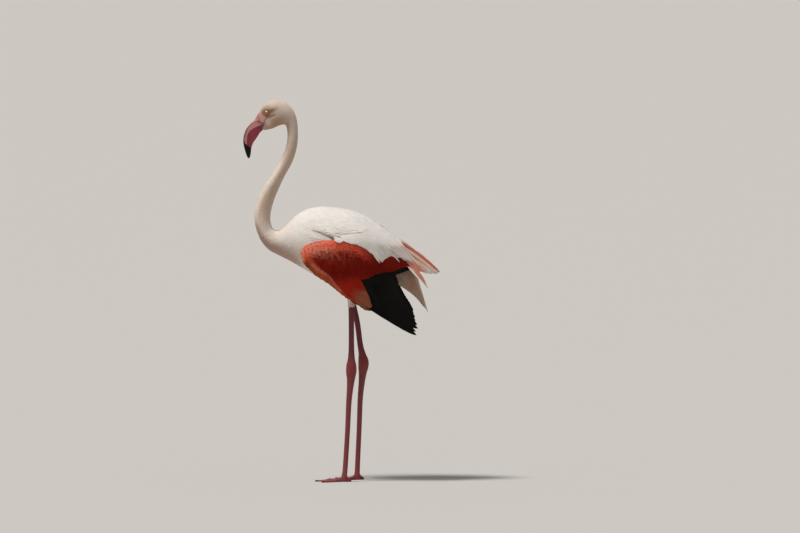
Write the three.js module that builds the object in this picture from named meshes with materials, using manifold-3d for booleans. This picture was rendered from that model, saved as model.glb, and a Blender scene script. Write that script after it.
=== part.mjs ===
// Greater flamingo, life size, standing still. Millimetres, +Z up.
// The bird looks along -X, its left side is -Y, its feet stand on Z = 0.
// All lengths of the body come from the station tables below: each row is one
// cross-section, given by where it meets the top and the bottom of the outline
// (x, z, x, z) and by its half breadth across the body.
import * as THREE from 'three';
import Module from 'manifold-3d';

const wasm = await Module();
wasm.setup();
const { Manifold, Mesh } = wasm;

const GAP = 0.3;           // space left between pieces that meet
const CUT = 0.4;           // how much a piece grows when it cuts its neighbour
const LEFT = -1, RIGHT = 1;

// ---------------------------------------------------------------- stations
const HEAD = [
  [-255, 1085, -243, 1035, 14.5], // bill base
  [-248, 1098, -235, 1036, 17.8], // lore
  [-237, 1111, -224, 1038, 20.4], // brow
  [-221, 1121, -212, 1041, 21.8], // forecrown
  [-201, 1126, -199, 1047, 22.4], // crown
  [-180, 1121, -188, 1051, 21.8], // hindcrown
  [-161, 1107, -180, 1052, 20],   // occiput
  [-149, 1089, -174, 1048, 17.6], // nape
  [-141, 1064, -171, 1036, 16],   // throat
  [-138, 1033, -170, 1019, 15.3], // top of the neck
];
const NECK = [
  [-138, 1033, -170, 1019, 15.3],
  [-139, 1001, -172, 996, 15.5],
  [-145, 970, -180, 970, 16],
  [-157, 937, -195, 939, 17],
  [-175, 905, -216, 905, 18.5],
  [-194, 866, -241, 870, 20],
  [-209, 829, -258, 832, 21.5],
  [-218, 794, -267, 796, 23],
  [-219, 765, -265, 754, 25],
  [-209, 743, -251, 716, 28],     // root of the neck
];
const TRUNK = [
  [-209, 743, -251, 716, 28],
  [-193, 741, -226, 684, 35],     // furcula
  [-173, 757, -190, 664, 47],     // breast
  [-146, 783, -155, 646, 62],     // shoulder
  [-115, 802, -118, 624, 77],     // fore back
  [-74, 808, -74, 599, 90],       // mantle
  [-24, 800, -21, 580, 96],       // mid back
  [27, 783, 32, 574, 95],         // hip
  [74, 758, 83, 580, 83],         // rump
  [115, 728, 127, 596, 62],       // vent
  [145, 699, 156, 615, 42],       // root of the tail
  [164, 673, 171, 632, 26],       // pygostyle
];
const BODY = [...HEAD, ...NECK.slice(1), ...TRUNK.slice(1)];
// places along BODY where the neck and the body are parted
const CUTS = { head: 0, neck_upper: 9, neck_middle: 12, neck_lower: 15, trunk: 18 };

// bill: culmen, cutting edge, keel, half breadth
const BILL = [
  [-256, 1085, -250, 1061, -244, 1034, 14.3], // base
  [-265, 1069, -258, 1053, -250, 1029, 14.6], // nostril
  [-274, 1060, -270, 1048, -257, 1018, 14.8],
  [-284, 1049, -280, 1041, -263, 1009, 14.6], // arch
  [-292, 1038, -286, 1032, -269, 1001, 14],   // bend
  [-297, 1024, -291, 1021, -273, 992, 12.8],
  [-300, 1010, -292, 1007, -276, 982, 11],
  [-299, 993, -291, 991, -277, 973, 9],       // hook
  [-295, 976, -288, 975, -278, 964, 6.8],
  [-290, 961, -286, 962, -280, 957, 4.4],
  [-285, 952, -284, 953.5, -282, 953, 1.6],   // tip
];
const EYE = { x: -231.2, y: 15.4, z: 1089, radius: 6.2 };

// feathers that lie over the back, from the saddle to the tips of the tertials
const MANTLE = [
  [-56, 810, -53, 720, 97],
  [0, 804, 0, 716, 101],          // saddle
  [44, 791, 47, 708, 99],         // loin
  [80, 771, 88, 698, 90],
  [115, 748, 130, 685, 76],
  [150, 720, 165, 669, 61],
  [180, 700, 192, 645, 49],       // tertials
  [206, 683, 215, 626, 39],
  [233, 665, 242, 617, 29],
  [254, 643, 260, 616, 19],
  [274, 620, 275, 617, 4],        // tip
];
const TAIL = [
  [180, 658, 139, 623, 28],       // root
  [195, 629, 133, 599, 35],
  [215, 599, 156, 580, 41],
  [224, 572, 183, 562, 44],
  [232, 544, 206, 544, 42],
  [239, 519, 225, 522, 33],
  [248, 487, 243, 491, 12],       // tip
];
const TERTIAL = [
  [168, 647, 164, 628, 5],        // root
  [199, 635, 192, 614, 5],
  [218, 620, 210, 599, 4],
  [231, 602, 223, 587, 3],
  [239, 581, 235, 577, 1.5],      // tip
];
const TERTIAL_OUT = 52;           // how far from the middle it hangs

// ------------------------------------------------------------------ wing
// the folded, lowered wing seen from its side: upper edge and lower edge of
// the covert feathers from the wrist back to the elbow
const COVERTS = [
  [-134, 684, -133, 677],         // wrist
  [-122, 703, -126, 650],
  [-91, 713, -94, 615],           // forearm
  [-56, 718, -53, 589],
  [-23, 718, -9, 553],
  [4, 717, 34, 530],
  [18, 716, 73, 513],             // hand
  [31, 714, 78, 532],
  [44, 712, 74, 568],
  [60, 708, 75, 600],
  [84, 702, 89, 608],             // inner coverts
  [112, 693, 112, 611],
  [139, 685, 140, 616],
  [163, 672, 165, 624],
  [183, 653, 186, 631],           // elbow
];
// flight feathers: root and tip of each, from the leading edge upward
const QUILLS = [
  [18, 540, 209, 435],            // outermost primary
  [18, 562, 213, 456],
  [18, 583, 205, 477],
  [18, 601, 200, 497],
  [21, 616, 191, 513],
  [30, 627, 180, 530],
  [42, 633, 171, 546],
  [60, 639, 163, 561],
  [80, 642, 158, 574],
  [101, 644, 152, 589],           // innermost primary
  [119, 645, 158, 602],           // secondaries
  [133, 651, 173, 613],
  [151, 655, 189, 621],
];
const NOTCH = [9, 7, 6, 5, 5, 4, 4, 4, 4, 3, 3, 3]; // depth between the tips
const ARM_OUT = [[-134, 73], [-90, 95], [-30, 106], [30, 107], [90, 92], [140, 70], [190, 51]];
const HAND_OUT = [[-134, 69], [-60, 91], [0, 99], [60, 100], [120, 91], [170, 80], [215, 71]];
const ARM_LEVEL = 680, HAND_LEVEL = 510;
const WING_THICK = 13, WING_EDGE = 7, VANE_THICK = 3.4, VANE_TIP = 1.6;

// ------------------------------------------------------------------- legs
// x, y, z, half length fore and aft, half breadth
const LEGS = {
  left: {
    side: LEFT,
    thigh: [[-8, 52, 655, 32, 24], [6, 50, 605, 29, 22], [14, 48, 562, 18, 15.5], [17, 46.8, 536, 12.5, 11.5], [17.6, 46.4, 522, 9.6, 9.2]],
    shank: [[17.6, 46.4, 521.7, 9, 8.4], [17.8, 44.2, 450, 8.3, 7.4], [17.9, 41.2, 392, 8.8, 7.6], [17.8, 39.2, 362, 11, 9.2], [17.6, 38.2, 346, 14.6, 11.6], [17.5, 38, 331.4, 16, 12.6]],
    tarsus: [[17.4, 38, 331.1, 16, 12.6], [17.1, 38, 318, 15, 11.6], [16.4, 38.3, 301, 12.2, 9.8], [13.2, 38.8, 268, 9.6, 8.4], [9.8, 39.5, 224, 8.3, 7.5], [6.4, 40.5, 150, 7.7, 7], [0.9, 41.3, 60, 7.7, 7], [-1.4, 41.8, 29, 7.9, 7.4], [-2.6, 42, 15.3, 8.4, 8]],
    foot: { x: -2.8, y: -42, turn: -7 },
  },
  right: {
    side: RIGHT,
    thigh: [[-4, 52, 655, 32, 24], [10, 50.6, 605, 29, 22], [19, 49, 562, 18, 15.5], [23.4, 48.2, 536, 12.5, 11.5], [24.5, 48, 522, 9.6, 9.2]],
    shank: [[24.5, 48, 521.7, 9, 8.4], [37, 44, 465, 8.6, 7.6], [45.4, 41.2, 402, 8.8, 7.6], [51.2, 39.2, 374, 11, 9.2], [54.2, 38.2, 359, 14.6, 11.6], [55.3, 38, 345.4, 16, 12.6]],
    tarsus: [[55.3, 38, 345.1, 16, 12.6], [54.6, 38, 331, 15, 11.6], [53, 38.2, 316, 12.2, 9.8], [49.9, 38.6, 286, 9.6, 8.4], [45.6, 39.2, 238, 8.2, 7.4], [42.4, 39.6, 150, 7.7, 7], [38.4, 40, 60, 7.7, 7], [37.1, 40, 29, 7.9, 7.4], [36.6, 40, 15.3, 8.4, 8]],
    foot: { x: 36.5, y: 40, turn: 7 },
  },
};
const FOOT = {
  hub: 9.2, hubTop: 15, sole: 1.3, web: 1.9, toeTop: 7.6, toeHalf: 4.6,
  toes: [{ turn: -35, length: 74 }, { turn: 0, length: 88 }, { turn: 35, length: 78 }],
  webReach: 0.76, claw: 11,
};

// ----------------------------------------------------------------- helpers
const lerp = (a, b, t) => a + (b - a) * t;
const clamp = (v, a, b) => Math.min(b, Math.max(a, v));
const smooth = (a, b, v) => { const t = clamp((v - a) / (b - a), 0, 1); return t * t * (3 - 2 * t); };

// smooth curve through the rows of a table, t counted in rows
function along(rows, t) {
  const n = rows.length - 1;
  const i = clamp(Math.floor(t), 0, n - 1), f = t - i;
  const p1 = rows[i], p2 = rows[i + 1];
  const p0 = rows[i - 1] ?? p1.map((v, k) => 2 * v - p2[k]);
  const p3 = rows[i + 2] ?? p2.map((v, k) => 2 * v - p1[k]);
  return p1.map((_, k) => {
    const a = p0[k], b = p1[k], c = p2[k], d = p3[k];
    return 0.5 * (2 * b + (c - a) * f + (2 * a - 5 * b + 4 * c - d) * f * f + (3 * b - a - 3 * c + d) * f * f * f);
  });
}

// piecewise smooth value of a small [x, value] table
function graph(table, x) {
  if (x <= table[0][0]) return table[0][1];
  for (let i = 1; i < table.length; i++) {
    if (x <= table[i][0]) {
      const t = (x - table[i - 1][0]) / (table[i][0] - table[i - 1][0]);
      return along(table.map((r) => [r[1]]), i - 1 + t)[0];
    }
  }
  return table[table.length - 1][1];
}

function solid(points, faces) {
  let volume = 0;
  const p = (i) => points.slice(3 * i, 3 * i + 3);
  for (let i = 0; i < faces.length; i += 3) {
    const [a, b, c] = [p(faces[i]), p(faces[i + 1]), p(faces[i + 2])];
    volume += a[0] * (b[1] * c[2] - b[2] * c[1]) - a[1] * (b[0] * c[2] - b[2] * c[0]) + a[2] * (b[0] * c[1] - b[1] * c[0]);
  }
  const out = volume > 0 ? faces : faces.map((_, i) => faces[i - (i % 3) + 2 - (i % 3)]);
  return { points, faces: out };
}

// closes a stack of rings, all with the same number of points
function closeRings(rings) {
  const n = rings[0].length, points = [], faces = [];
  rings.forEach((ring) => ring.forEach((q) => points.push(...q)));
  for (let r = 0; r < rings.length - 1; r++) {
    for (let k = 0; k < n; k++) {
      const a = r * n + k, b = r * n + (k + 1) % n, c = a + n, d = b + n;
      if ((r + k) % 2) faces.push(a, b, d, a, d, c); else faces.push(a, b, c, b, d, c);
    }
  }
  for (const [r, turn] of [[0, 1], [rings.length - 1, -1]]) {
    const ring = rings[r];
    const mid = [0, 1, 2].map((j) => ring.reduce((s, q) => s + q[j], 0) / n);
    const m = points.length / 3;
    points.push(...mid);
    for (let k = 0; k < n; k++) {
      const a = r * n + k, b = r * n + (k + 1) % n;
      faces.push(...(turn > 0 ? [m, b, a] : [m, a, b]));
    }
  }
  return solid(points, faces);
}

// one cross-section: top and bottom on the middle plane, half breadth w.
// level says at what height the section is widest, -1 bottom to 1 top.
function section([xt, zt, xb, zb, w], count, level = 0, grow = 0, push = 0, y0 = 0) {
  const cx = (xt + xb) / 2, cz = (zt + zb) / 2;
  let hx = (xt - xb) / 2, hz = (zt - zb) / 2;
  const h = Math.hypot(hx, hz);
  const nx = hz / h, nz = -hx / h;            // along the body
  hx *= (h + grow) / h; hz *= (h + grow) / h;
  const ring = [];
  for (let k = 0; k < count; k++) {
    const a = (2 * Math.PI * k) / count;
    const c = Math.cos(a), s = Math.sin(a);
    const up = c >= 0 ? level + (1 - level) * c : level + (1 + level) * c;
    ring.push([cx + hx * up + nx * push, y0 + (w + grow) * s, cz + hz * up + nz * push]);
  }
  return ring;
}

// body part swept through the rows of a table from row t0 to row t1
function sweep(rows, { t0 = 0, t1 = rows.length - 1, step = 1, around = 16, level = 0, grow = 0, ends = 0, y0 = 0 }) {
  const rings = [];
  const count = Math.max(1, Math.round((t1 - t0) * step));
  for (let i = 0; i <= count; i++) {
    const push = i === 0 ? ends - grow : i === count ? grow - ends : 0;
    rings.push(section(along(rows, lerp(t0, t1, i / count)), around, level, grow, push, y0));
  }
  return closeRings(rings);
}

// upright limb with level rings
function limb(rows, side, around, step = 1, grow = 0) {
  const rings = [];
  const count = (rows.length - 1) * step;
  for (let i = 0; i <= count; i++) {
    const [x, y, z, rx, ry] = i % step ? along(rows, i / step) : rows[i / step];
    rings.push(Array.from({ length: around }, (_, k) => {
      const a = (2 * Math.PI * k) / around;
      return [x + (rx + grow) * Math.cos(a), side * y + (ry + grow) * Math.sin(a), z];
    }));
  }
  return closeRings(rings);
}

// how far out the wing's surface lies at a place seen from the side
function wingOut(x, z) {
  return lerp(graph(ARM_OUT, x), graph(HAND_OUT, x), 1 - smooth(HAND_LEVEL, ARM_LEVEL, z));
}

// closes a sheet given by two grids of points, outer and inner
function closeSheet(outer, inner) {
  const rows = outer.length, cols = outer[0].length, points = [], faces = [];
  outer.flat().forEach((q) => points.push(...q));
  inner.flat().forEach((q) => points.push(...q));
  const o = (i, j) => i * cols + j, n = (i, j) => rows * cols + i * cols + j;
  for (let i = 0; i < rows - 1; i++) {
    for (let j = 0; j < cols - 1; j++) {
      faces.push(o(i, j), o(i + 1, j), o(i + 1, j + 1), o(i, j), o(i + 1, j + 1), o(i, j + 1));
      faces.push(n(i, j), n(i + 1, j + 1), n(i + 1, j), n(i, j), n(i, j + 1), n(i + 1, j + 1));
    }
  }
  const rim = [];
  for (let j = 0; j < cols - 1; j++) rim.push([0, j, 0, j + 1]);
  for (let i = 0; i < rows - 1; i++) rim.push([i, cols - 1, i + 1, cols - 1]);
  for (let j = cols - 1; j > 0; j--) rim.push([rows - 1, j, rows - 1, j - 1]);
  for (let i = rows - 1; i > 0; i--) rim.push([i, 0, i - 1, 0]);
  for (const [i, j, k, l] of rim) faces.push(o(i, j), o(k, l), n(k, l), o(i, j), n(k, l), n(i, j));
  return solid(points, faces);
}

function coverts(side, grow = 0) {
  const LONG = 20, DEEP = 6, outer = [], inner = [];
  for (let i = 0; i <= LONG; i++) {
    const t = (i / LONG) * (COVERTS.length - 1);
    let [xt, zt, xb, zb] = along(COVERTS, t);
    const d = Math.hypot(xt - xb, zt - zb);
    const gx = ((xt - xb) / d) * grow, gz = ((zt - zb) / d) * grow;
    const shift = i === 0 ? -grow : i === LONG ? grow : 0;
    xt += gx + shift; zt += gz; xb -= gx - shift; zb -= gz;
    const roll = Math.sin(Math.PI * clamp(i / LONG, 0.02, 0.98)) ** 0.35;
    const a = [], b = [];
    for (let j = 0; j <= DEEP; j++) {
      const s = j / DEEP;
      const x = lerp(xt, xb, s), z = lerp(zt, zb, s);
      const edge = Math.sin(Math.PI * clamp(s, 0, 1)) ** 0.5;
      const out = wingOut(x, z) - 3.2 * (1 - edge) - 9 * (1 - roll);
      const thick = lerp(WING_EDGE, WING_THICK, edge * roll);
      a.push([x, side * (out + grow), z]);
      b.push([x, side * (out - thick - grow), z]);
    }
    outer.push(a); inner.push(b);
  }
  return closeSheet(outer, inner);
}

function flightFeathers(side, grow = 0) {
  const lines = [];
  QUILLS.forEach((q, i) => {
    lines.push({ root: q.slice(0, 2), tip: q.slice(2), back: 0, ridge: 0 });
    const r = QUILLS[i + 1];
    if (r) lines.push({ root: [(q[0] + r[0]) / 2, (q[1] + r[1]) / 2], tip: [(q[2] + r[2]) / 2, (q[3] + r[3]) / 2], back: NOTCH[i], ridge: 0.9 });
  });
  const steps = [0, 0.45, 0.8, 0.94, 1], outer = [], inner = [];
  lines.forEach(({ root, tip, back, ridge }, n) => {
    const length = Math.hypot(tip[0] - root[0], tip[1] - root[1]);
    const dx = (tip[0] - root[0]) / length, dz = (tip[1] - root[1]) / length;
    const rim = n === 0 ? -1 : n === lines.length - 1 ? 1 : 0;
    const a = [], b = [];
    steps.forEach((s, k) => {
      const reach = (length - back + grow) * s;
      const bow = n === 0 ? -3.2 * Math.sin(Math.PI * s) : 0;
      const x = root[0] + dx * reach - dz * (bow + rim * grow);
      const z = root[1] + dz * reach + dx * (bow + rim * grow);
      const out = wingOut(x, z) - 2.2 - ridge * (s > 0.5 ? 1 : 0.4);
      a.push([x, side * (out + grow), z]);
      b.push([x, side * (out - lerp(VANE_THICK, VANE_TIP, s) - grow), z]);
    });
    outer.push(a); inner.push(b);
  });
  return closeSheet(outer, inner);
}

// webbed foot: flat sole, three front toes with their claws, webs, small hind toe
function foot({ x: fx, y: fy, turn }) {
  const rad = Math.PI / 180, angles = [];
  for (const { turn: t } of FOOT.toes) for (const d of [-9, -3.4, 0, 3.4, 9]) angles.push(t + d);
  for (const t of [-17.5, 17.5]) angles.push(t);
  for (const t of [58, 100, 140, 166, 180, 194, 220, 260, 302]) angles.push(t);
  angles.sort((a, b) => a - b);
  const HIND = { turn: 180, length: 21 };
  const reach = (deg) => {
    const a = ((deg + 540) % 360) - 180;
    let r = FOOT.hub;
    const [inner, , outer] = FOOT.toes;
    if (a > inner.turn && a < outer.turn) {
      const [lo, hi] = a < 0 ? FOOT.toes.slice(0, 2) : FOOT.toes.slice(1);
      const f = (a - lo.turn) / (hi.turn - lo.turn);
      r = lerp(lo.length, hi.length, f) * FOOT.webReach * (1 - 0.16 * Math.sin(Math.PI * f));
    }
    for (const { turn: t, length } of [...FOOT.toes, HIND]) {
      const off = Math.abs(((a - t + 540) % 360) - 180);
      const width = length > 40 ? 5.6 : 14;
      if (off < 0.1) r = Math.max(r, length);
      else if (off < width / 2 + 0.1) r = Math.max(r, length - FOOT.claw * 0.62);
      else if (off < width + 0.1) r = Math.max(r, (length - FOOT.claw) * (length > 40 ? 0.9 : 0.85));
    }
    return r;
  };
  const height = (a, r, rim) => {
    if (r <= FOOT.hub * 0.95) return FOOT.hubTop;
    if (rim) return FOOT.sole;
    const hubFall = (FOOT.hubTop - 4) * Math.exp(-((r - FOOT.hub * 0.9) / 7));
    let h = FOOT.web;
    for (const { turn: t, length } of [...FOOT.toes, HIND]) {
      const off = (a - t) * rad;
      if (Math.cos(off) <= 0) continue;
      const across = r * Math.sin(off), down = lerp(FOOT.toeTop, 4.2, clamp(r / length, 0, 1));
      h = Math.max(h, FOOT.web + (down - FOOT.web) * Math.exp(-((across / FOOT.toeHalf) ** 2)));
    }
    return Math.min(FOOT.hubTop - 0.5, h + hubFall);
  };
  const rounds = [0, 0.12, 0.34, 0.6, 0.86, 1];
  const points = [], faces = [];
  const put = (a, r, z) => {
    const q = (180 + a + turn) * rad;
    points.push(fx + r * Math.cos(q), fy + r * Math.sin(q), z);
  };
  const n = angles.length;
  rounds.forEach((s, k) => angles.forEach((a) => {
    const end = reach(a);
    const r = k === 0 ? FOOT.hub * 0.9 : lerp(FOOT.hub * 0.9, end, s);
    put(a, r, height(a, r, k === rounds.length - 1));
  }));
  angles.forEach((a) => put(a, reach(a), 0));
  angles.forEach((a) => put(a, FOOT.hub * 0.9, 0));
  const layers = rounds.length + 2;
  for (let r = 0; r < layers - 1; r++) {
    for (let k = 0; k < n; k++) {
      const a = r * n + k, b = r * n + (k + 1) % n;
      faces.push(a, b, b + n, a, b + n, a + n);
    }
  }
  const top = points.length / 3;
  points.push(fx, fy, FOOT.hubTop, fx, fy, 0);
  for (let k = 0; k < n; k++) {
    const m = (k + 1) % n, low = (layers - 1) * n;
    faces.push(top, m, k, top + 1, low + k, low + m);
  }
  return solid(points, faces);
}

function ball({ x, y, z, radius }, side, grow = 0) {
  const g = new THREE.SphereGeometry(radius + grow, 12, 7);
  const pos = g.getAttribute('position'), index = g.getIndex();
  const keys = new Map(), points = [], map = [];
  for (let i = 0; i < pos.count; i++) {
    const q = [pos.getX(i), pos.getZ(i), -pos.getY(i)];
    const key = q.map((v) => Math.round(v * 1e4)).join();
    if (!keys.has(key)) { keys.set(key, points.length / 3); points.push(q[0] + x, side * y + q[1], q[2] + z); }
    map.push(keys.get(key));
  }
  const faces = [];
  for (let i = 0; i < index.count; i += 3) {
    const f = [0, 1, 2].map((j) => map[index.getX(i + j)]);
    if (new Set(f).size === 3) faces.push(...f);
  }
  return solid(points, faces);
}

// ---------------------------------------------------- cutting and cleaning
const toManifold = ({ points, faces }) => new Manifold(new Mesh({
  numProp: 3, vertProperties: new Float32Array(points), triVerts: new Uint32Array(faces),
}));

// keeps the largest connected body and drops edges too short to matter
function tidy({ points, faces }, shortest = 0.06) {
  for (let pass = 0; pass < 12; pass++) {
    const map = new Int32Array(points.length / 3).map((_, i) => i);
    const find = (i) => { while (map[i] !== i) i = map[i] = map[map[i]]; return i; };
    const touched = new Set();
    const ring = new Map();
    for (let i = 0; i < faces.length; i++) {
      const v = faces[i];
      if (!ring.has(v)) ring.set(v, new Set());
      for (let k = 1; k < 3; k++) ring.get(v).add(faces[i - (i % 3) + ((i + k) % 3)]);
    }
    let merged = 0;
    for (let i = 0; i < faces.length; i += 3) {
      for (let k = 0; k < 3; k++) {
        const a = faces[i + k], b = faces[i + ((k + 1) % 3)];
        if (touched.has(a) || touched.has(b)) continue;
        const d = Math.hypot(points[3 * a] - points[3 * b], points[3 * a + 1] - points[3 * b + 1], points[3 * a + 2] - points[3 * b + 2]);
        if (d > shortest) continue;
        const shared = [...ring.get(a)].filter((v) => ring.get(b).has(v));
        if (shared.length !== 2) continue;
        map[b] = a; merged++;
        for (const v of [a, b, ...ring.get(a), ...ring.get(b)]) touched.add(v);
      }
    }
    if (!merged) break;
    const next = [];
    for (let i = 0; i < faces.length; i += 3) {
      const f = [find(faces[i]), find(faces[i + 1]), find(faces[i + 2])];
      if (new Set(f).size === 3) next.push(...f);
    }
    faces = next;
  }
  // split into connected bodies
  const parent = new Int32Array(points.length / 3).map((_, i) => i);
  const root = (i) => { while (parent[i] !== i) i = parent[i] = parent[parent[i]]; return i; };
  for (let i = 0; i < faces.length; i += 3) {
    parent[root(faces[i])] = root(faces[i + 1]);
    parent[root(faces[i + 1])] = root(faces[i + 2]);
  }
  const size = new Map();
  const vec = (i) => new THREE.Vector3(points[3 * i], points[3 * i + 1], points[3 * i + 2]);
  for (let i = 0; i < faces.length; i += 3) {
    const key = root(faces[i]);
    const v = vec(faces[i]).dot(vec(faces[i + 1]).cross(vec(faces[i + 2])));
    size.set(key, (size.get(key) ?? 0) + v);
  }
  const keep = [...size].sort((a, b) => b[1] - a[1])[0][0];
  const used = new Map(), outPoints = [], outFaces = [];
  for (let i = 0; i < faces.length; i += 3) {
    if (root(faces[i]) !== keep) continue;
    for (let k = 0; k < 3; k++) {
      const v = faces[i + k];
      if (!used.has(v)) { used.set(v, outPoints.length / 3); outPoints.push(points[3 * v], points[3 * v + 1], points[3 * v + 2]); }
      outFaces.push(used.get(v));
    }
  }
  return { points: outPoints, faces: outFaces };
}

function less(body, ...cutters) {
  let m = toManifold(body);
  for (const c of cutters) m = m.subtract(toManifold(c));
  const mesh = m.getMesh();
  const points = [], stride = mesh.numProp;
  for (let i = 0; i < mesh.vertProperties.length; i += stride) points.push(mesh.vertProperties[i], mesh.vertProperties[i + 1], mesh.vertProperties[i + 2]);
  // vertices that the library keeps apart only for their faces are one again
  const same = new Map();
  const from = mesh.mergeFromVert ?? [], to = mesh.mergeToVert ?? [];
  for (let i = 0; i < from.length; i++) same.set(from[i], to[i]);
  return tidy({ points, faces: [...mesh.triVerts].map((v) => same.get(v) ?? v) });
}

// ------------------------------------------------------------------ colours
const COLOR = {
  down: '#e9dccf', neck: '#dccabd', horn: '#c98a8e', keel: '#8c3a44', eye: '#e9dfb0',
  red: '#a8271d', black: '#141210', rose: '#dcb3a2', leg: '#9c4247',
};
const bird = new THREE.Group();
function add(name, { points, faces }, color, roughness = 0.85) {
  const g = new THREE.BufferGeometry();
  g.setAttribute('position', new THREE.BufferAttribute(new Float32Array(points), 3));
  g.setIndex(faces);
  g.computeVertexNormals();
  const mesh = new THREE.Mesh(g, new THREE.MeshStandardMaterial({ color, roughness, metalness: 0 }));
  mesh.name = name;
  bird.add(mesh);
}

// ------------------------------------------------------------------ the bird
const bodyPart = (t0, t1, step, around, grow = 0) => sweep(BODY, { t0, t1, step, around, grow, ends: GAP / 2 });
const END = BODY.length - 1;

add('head', less(bodyPart(0, CUTS.neck_upper, 1.34, 18), ball(EYE, LEFT, CUT), ball(EYE, RIGHT, CUT)), COLOR.down);
add('eye_left', ball(EYE, LEFT), COLOR.eye, 0.1);
add('eye_right', ball(EYE, RIGHT), COLOR.eye, 0.1);
add('bill_upper', sweep(BILL.map((r) => [r[0], r[1], r[2], r[3], r[6]]).map(([a, b, c, d, w]) => {
  const h = Math.hypot(a - c, b - d);
  return [a, b, c + ((a - c) / h) * (GAP / 2), d + ((b - d) / h) * (GAP / 2), w];
}), { step: 1.2, around: 14, level: -0.96, ends: GAP / 2 }), COLOR.horn, 0.4);
add('bill_lower', sweep(BILL.map((r) => [r[2], r[3], r[4], r[5], r[6]]).map(([a, b, c, d, w]) => {
  const h = Math.hypot(a - c, b - d);
  return [a - ((a - c) / h) * (GAP / 2), b - ((b - d) / h) * (GAP / 2), c, d, w];
}), { step: 1.2, around: 14, level: 0.96, ends: GAP / 2 }), COLOR.keel, 0.4);
add('neck_upper', bodyPart(CUTS.neck_upper, CUTS.neck_middle, 2, 16), COLOR.neck);
add('neck_middle', bodyPart(CUTS.neck_middle, CUTS.neck_lower, 2, 16), COLOR.neck);
add('neck_lower', bodyPart(CUTS.neck_lower, CUTS.trunk, 2.4, 16), COLOR.neck);
add('trunk', bodyPart(CUTS.trunk, END, 1.37, 24), COLOR.down);

const trunkCutter = bodyPart(CUTS.trunk, END, 1.37, 24, CUT);
const covertCutters = [coverts(LEFT, CUT), coverts(RIGHT, CUT)];
const tertial = (side, grow = 0) => sweep(TERTIAL, { step: 1, around: 8, y0: side * TERTIAL_OUT, grow, ends: 0 });
const mantleShape = (grow = 0) => sweep(MANTLE, { step: 1.1, around: 20, level: -0.97, grow, ends: 0 });
for (const [name, side] of [['left', LEFT], ['right', RIGHT]]) {
  add(`wing_coverts_${name}`, less(coverts(side), trunkCutter), COLOR.red);
  add(`wing_flight_${name}`, less(flightFeathers(side), coverts(side, CUT), trunkCutter), COLOR.black);
  add(`tertial_${name}`, less(tertial(side), coverts(side, CUT), flightFeathers(side, CUT), trunkCutter), COLOR.rose);
}
add('mantle', less(mantleShape(), trunkCutter, ...covertCutters, tertial(LEFT, CUT), tertial(RIGHT, CUT)), COLOR.down);
add('tail', less(sweep(TAIL, { step: 1.4, around: 14 }), trunkCutter, mantleShape(CUT), ...covertCutters,
  tertial(LEFT, CUT), tertial(RIGHT, CUT), flightFeathers(LEFT, CUT), flightFeathers(RIGHT, CUT)), COLOR.rose);
for (const [name, leg] of Object.entries(LEGS)) {
  add(`thigh_${name}`, less(limb(leg.thigh, leg.side, 14), trunkCutter), COLOR.down);
  add(`shank_${name}`, limb(leg.shank, leg.side, 12), COLOR.leg, 0.6);
  add(`tarsus_${name}`, limb(leg.tarsus, leg.side, 12), COLOR.leg, 0.6);
  add(`foot_${name}`, foot(leg.foot), COLOR.leg, 0.6);
}

// the origin sits on the floor under the middle of the whole bird
const box = new THREE.Box3().setFromObject(bird);
bird.position.set(-(box.min.x + box.max.x) / 2, -(box.min.y + box.max.y) / 2, 0);
export default bird;
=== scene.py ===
# Greater flamingo, life size, standing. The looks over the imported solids.
import math
import bpy
import numpy as np
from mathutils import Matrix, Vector
from mathutils.bvhtree import BVHTree
from mathutils.kdtree import KDTree


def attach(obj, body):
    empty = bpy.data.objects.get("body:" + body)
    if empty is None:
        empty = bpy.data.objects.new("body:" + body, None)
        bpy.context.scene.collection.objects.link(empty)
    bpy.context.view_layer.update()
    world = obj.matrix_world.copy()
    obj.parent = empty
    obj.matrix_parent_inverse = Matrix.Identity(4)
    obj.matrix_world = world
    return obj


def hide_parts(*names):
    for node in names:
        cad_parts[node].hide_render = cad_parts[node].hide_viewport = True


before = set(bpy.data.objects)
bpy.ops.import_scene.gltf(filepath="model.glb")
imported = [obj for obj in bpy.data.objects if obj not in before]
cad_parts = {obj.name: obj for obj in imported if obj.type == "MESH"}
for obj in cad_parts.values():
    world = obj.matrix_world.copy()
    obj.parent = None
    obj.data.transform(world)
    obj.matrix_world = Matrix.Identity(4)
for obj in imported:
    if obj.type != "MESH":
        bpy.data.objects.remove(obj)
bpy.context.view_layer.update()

rng = np.random.default_rng(20260)
SHIFT = np.array([12.3773, 0.0, 0.0])     # body tables to the row frame, mm
PI = math.pi
LEFT, RIGHT = -1.0, 1.0

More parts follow.
